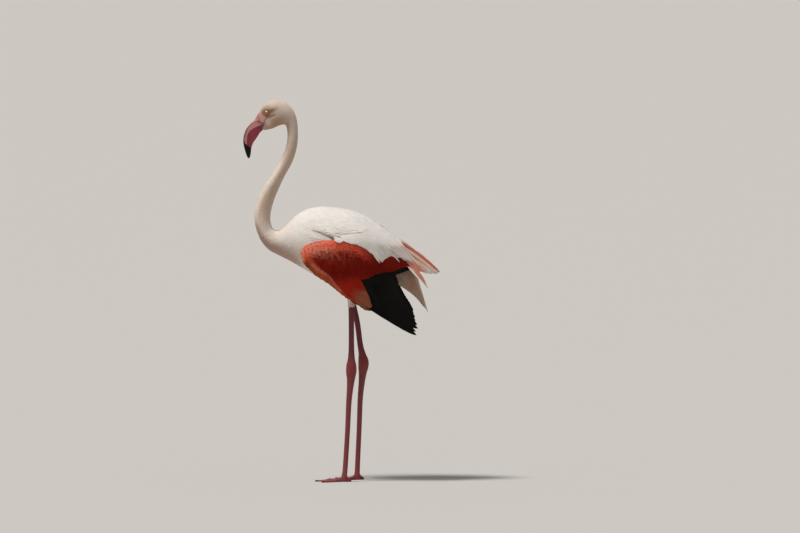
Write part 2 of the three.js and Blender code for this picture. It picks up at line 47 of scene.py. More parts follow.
# ------------------------------------------------------------ body stations
# each row: top x, top z, bottom x, bottom z, half breadth, all mm
HEAD = [
    (-255, 1085, -243, 1035, 14.5), (-248, 1098, -235, 1036, 17.8), (-237, 1111, -224, 1038, 20.4),
    (-221, 1121, -212, 1041, 21.8), (-201, 1126, -199, 1047, 22.4), (-180, 1121, -188, 1051, 21.8),
    (-161, 1107, -180, 1052, 20), (-149, 1089, -174, 1048, 17.6), (-141, 1064, -171, 1036, 16),
    (-138, 1033, -170, 1019, 15.3)]
NECK = [
    (-139, 1001, -172, 996, 15.5), (-145, 970, -180, 970, 16), (-157, 937, -195, 939, 17),
    (-175, 905, -216, 905, 18.5), (-194, 866, -241, 870, 20), (-209, 829, -258, 832, 21.5),
    (-218, 794, -267, 796, 23), (-219, 765, -265, 754, 25), (-209, 743, -251, 716, 28)]
TRUNK = [
    (-193, 741, -226, 684, 35), (-173, 757, -190, 664, 47), (-146, 783, -155, 646, 62),
    (-115, 802, -118, 624, 77), (-74, 808, -74, 599, 90), (-24, 800, -21, 580, 96),
    (27, 783, 32, 574, 95), (74, 758, 83, 580, 83), (115, 728, 127, 596, 62),
    (145, 699, 156, 615, 42), (164, 673, 171, 632, 26)]
BODY = np.array(HEAD + NECK + TRUNK, float)
T_NECK, T_TRUNK, T_END = 9.0, 18.0, float(len(BODY) - 1)
BILL = np.array([
    (-256, 1085, -250, 1061, -244, 1034, 14.3), (-265, 1069, -258, 1053, -250, 1029, 14.6),
    (-274, 1060, -270, 1048, -257, 1018, 14.8), (-284, 1049, -280, 1041, -263, 1009, 14.6),
    (-292, 1038, -286, 1032, -269, 1001, 14), (-297, 1024, -291, 1021, -273, 992, 12.8),
    (-300, 1010, -292, 1007, -276, 982, 11), (-299, 993, -291, 991, -277, 973, 9),
    (-295, 976, -288, 975, -278, 964, 6.8), (-290, 961, -286, 962, -280, 957, 4.4),
    (-285, 952, -284, 953.5, -282, 953, 1.6)], float)
EYE = (-231.2, 15.4, 1089.0, 6.2)
MANTLE = np.array([
    (-56, 810, -53, 720, 97), (0, 804, 0, 716, 101), (44, 791, 47, 708, 99), (80, 771, 88, 698, 90),
    (115, 748, 130, 685, 76), (150, 720, 165, 669, 61), (180, 700, 192, 645, 49),
    (206, 683, 215, 626, 39), (233, 665, 242, 617, 29), (254, 643, 260, 616, 19),
    (274, 620, 275, 617, 4)], float)
TAIL = np.array([
    (180, 658, 139, 623, 28), (195, 629, 133, 599, 35), (215, 599, 156, 580, 41),
    (224, 572, 183, 562, 44), (232, 544, 206, 544, 42), (239, 519, 225, 522, 33),
    (248, 487, 243, 491, 12)], float)
COVERTS = np.array([
    (-134, 684, -133, 677), (-122, 703, -126, 650), (-91, 713, -94, 615), (-56, 718, -53, 589),
    (-23, 718, -9, 553), (4, 717, 34, 530), (18, 716, 73, 513), (31, 714, 78, 532),
    (44, 712, 74, 568), (60, 708, 75, 600), (84, 702, 89, 608), (112, 693, 112, 611),
    (139, 685, 140, 616), (163, 672, 165, 624), (183, 653, 186, 631)], float)
QUILLS = np.array([
    (18, 540, 209, 435), (18, 562, 213, 456), (18, 583, 205, 477), (18, 601, 200, 497),
    (21, 616, 191, 513), (30, 627, 180, 530), (42, 633, 171, 546), (60, 639, 163, 561),
    (80, 642, 158, 574), (101, 644, 152, 589)], float)
ARM_OUT = [(-134, 73), (-90, 95), (-30, 106), (30, 107), (90, 92), (140, 70), (190, 51)]
HAND_OUT = [(-134, 69), (-60, 91), (0, 99), (60, 100), (120, 91), (170, 80), (215, 71)]
ARM_LEVEL, HAND_LEVEL = 680.0, 510.0
LEGS = {
    "left": dict(side=LEFT, foot=(-2.8, -42.0, -7.0),
        thigh=[(-8, 52, 655, 32, 24), (6, 50, 605, 29, 22), (14, 48, 562, 18, 15.5), (17, 46.8, 536, 12.5, 11.5), (17.6, 46.4, 522, 9.6, 9.2)],
        shank=[(17.8, 44.2, 450, 8.3, 7.4), (17.9, 41.2, 392, 8.8, 7.6), (17.8, 39.2, 362, 11, 9.2), (17.6, 38.2, 346, 14.6, 11.6), (17.5, 38, 331.2, 16, 12.6)],
        tarsus=[(17.1, 38, 318, 15, 11.6), (16.4, 38.3, 301, 12.2, 9.8), (13.2, 38.8, 268, 9.6, 8.4), (9.8, 39.5, 224, 8.3, 7.5), (6.4, 40.5, 150, 7.7, 7), (0.9, 41.3, 60, 7.7, 7), (-1.4, 41.8, 29, 7.9, 7.4), (-2.6, 42, 15.3, 8.4, 8)]),
    "right": dict(side=RIGHT, foot=(36.5, 40.0, 7.0),
        thigh=[(-4, 52, 655, 32, 24), (10, 50.6, 605, 29, 22), (19, 49, 562, 18, 15.5), (23.4, 48.2, 536, 12.5, 11.5), (24.5, 48, 522, 9.6, 9.2)],
        shank=[(37, 44, 465, 8.6, 7.6), (45.4, 41.2, 402, 8.8, 7.6), (51.2, 39.2, 374, 11, 9.2), (54.2, 38.2, 359, 14.6, 11.6), (55.3, 38, 345.2, 16, 12.6)],
        tarsus=[(54.6, 38, 331, 15, 11.6), (53, 38.2, 316, 12.2, 9.8), (49.9, 38.6, 286, 9.6, 8.4), (45.6, 39.2, 238, 8.2, 7.4), (42.4, 39.6, 150, 7.7, 7), (38.4, 40, 60, 7.7, 7), (37.1, 40, 29, 7.9, 7.4), (36.6, 40, 15.3, 8.4, 8)]),
}
TOES = [(-35.0, 74.0), (0.0, 88.0), (35.0, 78.0)]
HIND = (180.0, 21.0)
HUB, HUB_TOP, SOLE, WEB, TOE_TOP, TOE_HALF, CLAW, WEB_REACH = 9.2, 15.0, 1.3, 1.9, 7.6, 4.6, 11.0, 0.76


# ----------------------------------------------------------------- numbers
def clamp(v, a, b):
    return np.minimum(b, np.maximum(a, v))


def smooth(a, b, v):
    t = clamp((np.asarray(v, float) - a) / (b - a), 0, 1)
    return t * t * (3 - 2 * t)


def mix(a, b, t):
    t = np.asarray(t, float)
    if np.ndim(a) and np.ndim(t):
        t = t[..., None] if np.ndim(t) < max(np.ndim(a), np.ndim(b)) or np.shape(t)[-1:] != np.shape(a)[-1:] else t
    return a + (np.asarray(b, float) - a) * t


def tint(a, b, t):
    """Blend of two colours, or arrays of them, by t of shape (n,)."""
    return np.asarray(a, float) + (np.asarray(b, float) - np.asarray(a, float)) * np.asarray(t, float)[:, None]


def along(rows, t):
    rows = np.asarray(rows, float)
    n = len(rows) - 1
    t = np.asarray(t, float)
    i = np.clip(np.floor(t).astype(int), 0, n - 1)
    f = (t - i)[..., None]
    p1, p2 = rows[i], rows[i + 1]
    p0 = np.where((i > 0)[..., None], rows[np.maximum(i - 1, 0)], 2 * p1 - p2)
    p3 = np.where((i < n - 1)[..., None], rows[np.minimum(i + 2, n)], 2 * p2 - p1)
    return 0.5 * (2 * p1 + (p2 - p0) * f + (2 * p0 - 5 * p1 + 4 * p2 - p3) * f * f + (3 * p1 - p0 - 3 * p2 + p3) * f ** 3)


def graph(table, x):
    xs = np.array([r[0] for r in table], float)
    ys = np.array([[r[1]] for r in table], float)
    return along(ys, np.interp(x, xs, np.arange(len(xs))))[..., 0]


def wing_out(x, z):
    k = 1 - smooth(HAND_LEVEL, ARM_LEVEL, z)
    return graph(ARM_OUT, x) * (1 - k) + graph(HAND_OUT, x) * k


def lin(c):
    """sRGB 0-255 to linear."""
    c = np.asarray(c, float) / 255
    return np.where(c <= 0.04045, c / 12.92, ((c + 0.055) / 1.055) ** 2.4)


def hash01(*v):
    s = sum(np.asarray(a, float) * k for a, k in zip(v, (12.9898, 78.233, 37.719)))
    return np.mod(np.sin(s) * 43758.5453, 1.0)


def wobble(x, y, z, size):
    """Smooth value noise made of a few sines, about -1 to 1."""
    a, b, c = x / size, y / size, z / size
    return (np.sin(a * 1.7 + 2.1 * np.sin(b * 1.3 + 0.7)) + np.sin(b * 1.9 - 1.3 * np.sin(c * 1.1 + 2.0) + 1.1) + np.sin(c * 2.3 + 1.7 * np.sin(a * 0.9 - 0.4) + 3.0)) / 3


def px(x):      # side-view outline numbers, in the units of the bird's outline sheet
    return x / 2.95 + 345.0


def pz(z):
    return 480.8 - z / 2.95


def inside_by(poly, x, y):
    """Distance into a polygon, negative outside."""
    poly = np.asarray(poly, float)
    d = np.full(np.shape(x), 1e9)
    c = np.zeros(np.shape(x), bool)
    for (x1, y1), (x2, y2) in zip(poly, np.roll(poly, -1, 0)):
        ex, ey = x2 - x1, y2 - y1
        t = clamp(((x - x1) * ex + (y - y1) * ey) / (ex * ex + ey * ey), 0, 1)
        d = np.minimum(d, np.hypot(x - x1 - t * ex, y - y1 - t * ey))
        hit = ((y1 > y) != (y2 > y)) & (x < ex * (y - y1) / ((ey if abs(ey) > 1e-9 else 1e-9)) + x1)
        c ^= hit
    return np.where(c, d, -d)


# ---------------------------------------------------------------- surfaces
def section(r, a, inset=0.0, level=0.0, y0=0.0):
    xt, zt, xb, zb, w = (r[..., k] for k in range(5))
    cx, cz, hx, hz = (xt + xb) / 2, (zt + zb) / 2, (xt - xb) / 2, (zt - zb) / 2
    h = np.hypot(hx, hz)
    k = (h - inset) / h
    c, s = np.cos(a), np.sin(a)
    up = np.where(c >= 0, level + (1 - level) * c, level + (1 + level) * c)
    return np.stack([cx + hx * k * up, y0 + (w - inset) * s, cz + hz * k * up], -1)


class Loft:
    """A surface over rows t and angle a, 0 on top, positive toward the right side."""

    def __init__(self, rows, inset=0.0, level=0.0, y0=0.0, relief=None):
        self.rows, self.inset, self.level, self.y0, self.relief = np.asarray(rows, float), inset, level, y0, relief
        self.end = len(self.rows) - 1.0

    def raw(self, t, a):
        inset = self.inset(t) if callable(self.inset) else self.inset
        return section(along(self.rows, t), a, inset, self.level, self.y0)

    def frame(self, t, a):
        e = 1e-3
        p = self.raw(t, a)
        pt = (self.raw(t + e, a) - self.raw(t - e, a)) / (2 * e)
        pa = (self.raw(t, a + e) - self.raw(t, a - e)) / (2 * e)
        n = np.cross(pa, pt)
        n /= np.linalg.norm(n, axis=-1, keepdims=True) + 1e-12
        r = along(self.rows, t)
        out = p - np.stack([(r[..., 0] + r[..., 2]) / 2, np.full(np.shape(t), self.y0), (r[..., 1] + r[..., 3]) / 2], -1)
        n *= np.where((n * out).sum(-1, keepdims=True) < 0, -1.0, 1.0)
        return p, pt, pa, n

    def point(self, t, a):
        p, _, _, n = self.frame(t, a)
        if self.relief is not None:
            p = p + n * self.relief(p, t, a)[..., None]
        return p, n


class Limb:
    """Upright limb: rows x, y, z, rx, ry from the top down."""

    def __init__(self, rows, side, inset=0.0):
        self.rows, self.side, self.inset = np.asarray(rows, float), side, inset
        self.end = len(rows) - 1.0

    def raw(self, t, a):
        r = along(self.rows, t)
        i = self.inset(t) if callable(self.inset) else self.inset
        return np.stack([r[..., 0] + (r[..., 3] - i) * np.cos(a), self.side * r[..., 1] + (r[..., 4] - i) * np.sin(a), r[..., 2]], -1)

    def frame(self, t, a):
        e = 1e-3
        p = self.raw(t, a)
        pt = (self.raw(t + e, a) - self.raw(t - e, a)) / (2 * e)
        pa = (self.raw(t, a + e) - self.raw(t, a - e)) / (2 * e)
        n = np.cross(pa, pt)
        n /= np.linalg.norm(n, axis=-1, keepdims=True) + 1e-12
        r = along(self.rows, t)
        out = p - np.stack([r[..., 0], self.side * r[..., 1], r[..., 2]], -1)
        n *= np.where((n * out).sum(-1, keepdims=True) < 0, -1.0, 1.0)
        return p, pt, pa, n

    def point(self, t, a):
        p, _, _, n = self.frame(t, a)
        return p, n


class WingSide:
    """The wing's outer (or inner) face over x and z."""

    def __init__(self, side, depth=0.0, inner=False):
        self.side, self.depth, self.inner = side, depth, inner

    def raw(self, x, z):
        return np.stack([x, self.side * (wing_out(x, z) - self.depth), z], -1)

    def frame(self, x, z):
        e = 0.5
        p = self.raw(x, z)
        px_ = (self.raw(x + e, z) - self.raw(x - e, z)) / (2 * e)
        pz_ = (self.raw(x, z + e) - self.raw(x, z - e)) / (2 * e)
        n = np.cross(px_, pz_)
        n /= np.linalg.norm(n, axis=-1, keepdims=True)
        want = -self.side if self.inner else self.side
        n *= np.where(n[..., 1:2] * want < 0, -1.0, 1.0)
        return p, px_, pz_, n

    def point(self, x, z):
        p, _, _, n = self.frame(x, z)
        return p, n


# ------------------------------------------------------------ mesh building
def build(name, verts, tris, color=None, local=None, uv=None, smooth_faces=True, rim=None):
    """A mesh object from arrays: mm vertices in table coordinates, triangles, and attributes."""
    v = (np.asarray(verts, float) + SHIFT) * 0.001
    if not np.isfinite(v).all():
        raise RuntimeError(name + " has a vertex that is not a number")
    tris = np.asarray(tris, np.int32)
    me = bpy.data.meshes.new(name)
    me.vertices.add(len(v))
    me.vertices.foreach_set("co", v.astype(np.float32).ravel())
    me.loops.add(3 * len(tris))
    me.loops.foreach_set("vertex_index", tris.ravel())
    me.polygons.add(len(tris))
    me.polygons.foreach_set("loop_start", np.arange(0, 3 * len(tris), 3, dtype=np.int32))
    me.update(calc_edges=True)
    me.polygons.foreach_set("use_smooth", np.full(len(tris), smooth_faces))
    if rim is not None:
        e = np.empty(2 * len(me.edges), np.int32)
        me.edges.foreach_get("vertices", e)
        e = e.reshape(-1, 2)
        me.attributes.new("sharp_edge", "BOOLEAN", "EDGE").data.foreach_set("value", rim[e[:, 0]] & rim[e[:, 1]])
    if color is not None:
        rgba = np.ones((len(v), 4), np.float32)
        rgba[:, :3] = np.clip(color, 0, 1)
        me.attributes.new("fc", "FLOAT_COLOR", "POINT").data.foreach_set("color", rgba.ravel())
    if local is not None:
        me.attributes.new("fl", "FLOAT_VECTOR", "POINT").data.foreach_set("vector", np.asarray(local, np.float32).ravel())
    if uv is not None:
        layer = me.uv_layers.new(name="OFBake")
        layer.data.foreach_set("uv", np.asarray(uv, np.float32)[tris.ravel()].ravel())
    ob = bpy.data.objects.new(name, me)
    bpy.context.scene.collection.objects.link(ob)
    return ob


def grid_tris(nr, nc, closed=True, start=0):
    """Triangles over nr rings of nc points."""
    k = np.arange(nc if closed else nc - 1)
    r = np.arange(nr - 1)[:, None]
    a = start + r * nc + k
    b = start + r * nc + (k + 1) % nc
    c, d = a + nc, b + nc
    return np.concatenate([np.stack([a, b, d], -1).reshape(-1, 3), np.stack([a, d, c], -1).reshape(-1, 3)])


def capped(points):
    """(rings, around, 3) to closed (verts, tris), facing out."""
    nr, nc = points.shape[:2]
    v = points.reshape(-1, 3)
    tris = grid_tris(nr, nc)
    ends = np.stack([points[0].mean(0), points[-1].mean(0)])
    m0, m1 = len(v), len(v) + 1
    k = np.arange(nc)
    k2 = (k + 1) % nc
    low = (nr - 1) * nc
    tris = np.concatenate([tris, np.stack([np.full(nc, m0), k2, k], -1), np.stack([np.full(nc, m1), low + k, low + k2], -1)])
    v = np.concatenate([v, ends])
    return v, outward(v, tris)


def outward(v, tris):
    a, b, c = v[tris[:, 0]], v[tris[:, 1]], v[tris[:, 2]]
    vol = (a * np.cross(b, c)).sum()
    return tris if vol > 0 else tris[:, ::-1]


class Coat:
    """Collects feathers, then makes one mesh of them."""

    def __init__(self, name):
        self.name, self.parts, self.count = name, [], 0

    def add(self, v, t, c, l, u):
        self.parts.append((v, t + self.count, c, l, u))
        self.count += len(v)

    def make(self):
        v, t, c, l, u = (np.concatenate(k) for k in zip(*self.parts))
        rim = (np.abs(l[:, 0]) > 1e-6) | (l[:, 1] <= 1e-6) | (l[:, 1] >= 1 - 1e-6)
        ob = build(self.name, v, t, c, l, u, rim=rim)
        print("coat", self.name, len(t), "triangles")
        if len(t) >= 200_000:
            raise RuntimeError(self.name + " is too large")
        return ob


PROFILES = {
    # half width at stations between the root and the tip
    "tuft": ([0.30, 0.72], [0.78, 0.80]),
    "round": ([0.22, 0.55, 0.84], [0.72, 1.0, 0.74]),
    "soft": ([0.18, 0.45, 0.72, 0.90], [0.62, 0.95, 0.98, 0.58]),
    "lance": ([0.12, 0.32, 0.55, 0.76, 0.91], [0.50, 0.86, 1.0, 0.78, 0.38]),
    "primary": ([0.03, 0.12, 0.28, 0.46, 0.64, 0.80, 0.90, 0.96, 0.987], [0.22, 0.62, 0.92, 1.0, 1.0, 0.97, 0.86, 0.66, 0.40]),
    "quill": ([0.03, 0.12, 0.28, 0.46, 0.64, 0.80, 0.90, 0.965], [0.22, 0.62, 0.92, 1.0, 1.0, 0.90, 0.70, 0.40]),
}


def vanes(coat, surf, p, q, dp, dq, length, width, profile, lift, uv, color_root, color_tip,
          thick=0.16, ridge=0.35, camber=0.25, sway=0.0, fray=0.0, walk=None):
    """Adds one closed thin vane per root (p, q). dp, dq is the step in p, q for 1 mm of length. lift = (root, middle, tip) heights over the surface in mm."""
    n = len(p)
    if n == 0:
        return
    st, wd = PROFILES[profile]
    m = len(st)
    a = np.array([0.0] + list(st) + [1.0])
    L = np.broadcast_to(np.asarray(length, float), n)
    W = np.broadcast_to(np.asarray(width, float), n)
    l0, l1, l2 = (np.broadcast_to(np.asarray(k, float), n) for k in lift)
    sw = np.broadcast_to(np.asarray(sway, float), n)
    C = np.empty((m + 2, n, 3))
    N = np.empty((m + 2, n, 3))
    if walk is None:
        for k, s in enumerate(a):
            C[k], N[k] = surf.point(p + dp * L * s, q + dq * L * s)
    else:
        # follows the surface in short steps; walk = (turn, least p, most p)
        turn, p_lo, p_hi = walk
        pp, qq, s_at = np.array(p, float), np.array(q, float), 0.0
        for k, s in enumerate(a):
            while s_at < s - 1e-9:
                ds = min(0.125, s - s_at)
                e1, e2 = steps(surf, pp, qq, turn)
                hp, hq = pp + e1 * L * ds / 2, qq + e2 * L * ds / 2
                e1, e2 = steps(surf, clamp(hp, p_lo, p_hi), hq, turn)
                pp, qq = clamp(pp + e1 * L * ds, p_lo, p_hi), qq + e2 * L * ds
                s_at += ds
            C[k], N[k] = surf.point(pp, qq)
    T = np.gradient(C, axis=0)
    T /= np.linalg.norm(T, axis=-1, keepdims=True) + 1e-9
    B = np.cross(N, T)
    B /= np.linalg.norm(B, axis=-1, keepdims=True) + 1e-9
    for k, s in enumerate(a):
        h = np.where(s < 0.5, l0 + (l1 - l0) * smooth(0, 0.5, s), l1 + (l2 - l1) * smooth(0.5, 1, s))
        C[k] += N[k] * h[:, None] + B[k] * (sw * W * s * s)[:, None]
    per = 4 * m + 2
    V = np.empty((n, per, 3))
    F = np.zeros((n, per, 3))
    V[:, 0], V[:, per - 1] = C[0], C[m + 1]
    F[:, per - 1, 1] = 1.0
    for k in range(1, m + 1):
        jag = 1.0 + fray * (rng.random((2, n)) - 0.5)
        half = (W * wd[k - 1] / 2)[:, None]
        o = 1 + 4 * (k - 1)
        V[:, o] = C[k] + N[k] * (ridge + thick / 2)
        V[:, o + 1] = C[k] + B[k] * half * jag[0][:, None] - N[k] * camber
        V[:, o + 2] = C[k] + N[k] * (ridge - thick / 2 - 0.04)
        V[:, o + 3] = C[k] - B[k] * half * jag[1][:, None] - N[k] * camber
        F[:, o:o + 4, 1] = a[k]
        F[:, o + 1, 0], F[:, o + 3, 0] = wd[k - 1], -wd[k - 1]
    F[:, :, 2] = rng.random(n)[:, None]
    tri = []
    for j in range(4):
        tri.append((0, 1 + j, 1 + (j + 1) % 4))
    for k in range(m - 1):
        o = 1 + 4 * k
        for j in range(4):
            j2 = (j + 1) % 4
            tri += [(o + j, o + 4 + j, o + 4 + j2), (o + j, o + 4 + j2, o + j2)]
    o = 1 + 4 * (m - 1)
    for j in range(4):
        tri.append((per - 1, o + (j + 1) % 4, o + j))
    tri = np.array(tri)
    # face out: test the first feather
    v0 = V[0]
    x, y, z = v0[tri[:, 0]], v0[tri[:, 1]], v0[tri[:, 2]]
    if ((x - v0[0]) * np.cross(y - v0[0], z - v0[0])).sum() < 0:
        tri = tri[:, ::-1]
    T_all = (tri[None] + (np.arange(n) * per)[:, None, None]).reshape(-1, 3)
    f = F[:, :, 1:2]
    col = np.asarray(color_root)[:, None, :] * (1 - f) + np.asarray(color_tip)[:, None, :] * f
    U = np.empty((n, per, 2))
    U[:, :, 0] = np.asarray(uv)[:, None, 0] + F[:, :, 0] * 0.0014
    U[:, :, 1] = np.asarray(uv)[:, None, 1] + (F[:, :, 1] - 0.5) * 0.0028
    coat.add(V.reshape(-1, 3), T_all, col.reshape(-1, 3), F.reshape(-1, 3), np.clip(U, 0.001, 0.999).reshape(-1, 2))


def scatter(surf, t0, t1, spacing, jitter=0.30, a0=-PI, a1=PI, fine=72):
    """Roots in staggered rows, evenly spaced over the surface. spacing is a number or a function of t."""
    gap = spacing if callable(spacing) else (lambda t: spacing)
    ts = np.linspace(t0, t1, 400)
    aa = np.linspace(a0, a1, fine)
    tt, ag = np.meshgrid(ts, aa, indexing="ij")
    _, pt, pa, _ = surf.frame(tt, ag)
    cell = np.linalg.norm(np.cross(pt, pa), axis=-1)
    ring = np.linalg.norm(pa, axis=-1)
    circ = ring.mean(1) * (a1 - a0)
    area = cell.mean(1) * (a1 - a0)                  # per unit t
    speed = area / circ                               # mean mm per unit t
    g = np.array([gap(t) for t in ts])
    rows = np.concatenate([[0], np.cumsum((speed / g)[:-1] * np.diff(ts))])
    count = int(rows[-1])
    out_t, out_a = [], []
    for i in range(count):
        t = np.interp(i + 0.5, rows, ts)
        k = int(np.searchsorted(ts, t))
        k = min(k, len(ts) - 1)
        d = cell[k]
        cdf = np.concatenate([[0], np.cumsum((d[1:] + d[:-1]) / 2)])
        n = max(3, int(round(circ[k] / gap(t))))
        s = (np.arange(n) + 0.5 * (i % 2) + 0.25 + jitter * (rng.random(n) - 0.5)) / n
        out_a.append(np.interp(np.mod(s, 1.0) * cdf[-1], cdf, aa))
        out_t.append(t + (rng.random(n) - 0.5) * jitter * gap(t) / speed[k])
    return clamp(np.concatenate(out_t), t0, t1), np.concatenate(out_a)


def steps(surf, p, q, turn=0.0, most=None):
    """dp, dq for 1 mm along the lie, turned by an angle in radians."""
    _, pt, pa, _ = surf.frame(p, q)
    dp = np.cos(turn) / (np.linalg.norm(pt, axis=-1) + 1e-6)
    dq = np.sin(turn) / (np.linalg.norm(pa, axis=-1) + 1e-6)
    if most is not None:
        dp = np.minimum(dp, most)
    return dp, dq


# ------------------------------------------------------------------ colours
WHITE = np.array([0.83, 0.803, 0.772])
BLUSH = np.array([0.79, 0.70, 0.645])
NECKC = np.array([0.650, 0.530, 0.450])
CHEEK = np.array([0.50, 0.345, 0.235])
BUFF = np.array([0.41, 0.255, 0.155])
CORAL = np.array([0.78, 0.105, 0.058])
RED = np.array([0.30, 0.016, 0.008])
CRIMSON = np.array([0.155, 0.007, 0.004])
ORANGE = np.array([0.46, 0.095, 0.042])
RUSSET = np.array([0.27, 0.095, 0.050])
BLACK = np.array([0.0045, 0.0042, 0.0040])
SALMON = np.array([0.66, 0.23, 0.16])
ROSE = np.array([0.74, 0.50, 0.42])
LORE = np.array([0.54, 0.29, 0.275])
LIDSKIN = np.array([0.26, 0.105, 0.055])
HORN = np.array([0.44, 0.19, 0.19])
HORN_PALE = np.array([0.80, 0.42, 0.41])
KEEL = np.array([0.30, 0.050, 0.072])
BLACKHORN = np.array([0.003, 0.003, 0.003])
SHIN = np.array([0.225, 0.042, 0.048])
TIBIA = np.array([0.155, 0.024, 0.032])
JOINT = np.array([0.265, 0.030, 0.030])

# bare skin of the face, in outline units: round the eye, the lore and the gape
FACE = [(257.9, 113.6), (260.6, 111.6), (263.0, 109.4), (266.4, 108.4), (269.5, 109.7), (270.6, 112.2), (269.8, 114.8),
        (267.6, 116.8), (265.5, 118.8), (265.0, 121.4), (264.0, 125.0), (262.5, 129.0), (261.0, 132.5), (254, 132.5), (254, 113.6)]


def face_mask(p):
    d = inside_by(FACE, px(p[..., 0]), pz(p[..., 2]))
    return d


CREASE = [(301, 225), (309, 228.6), (316, 230.4), (322, 232.2), (328, 235.0), (333, 237.6), (339, 240.0)]


def fold_place(p):
    """Height under the fold line over the wing, in outline units, and how strong the fold is there."""
    u, v = px(p[..., 0]), pz(p[..., 2])
    line = np.array(CREASE)
    s = v - np.interp(u, line[:, 0], line[:, 1])
    return s, smooth(300, 314, u) * smooth(345, 337, u) * smooth(35, 60, np.abs(p[..., 1])), u


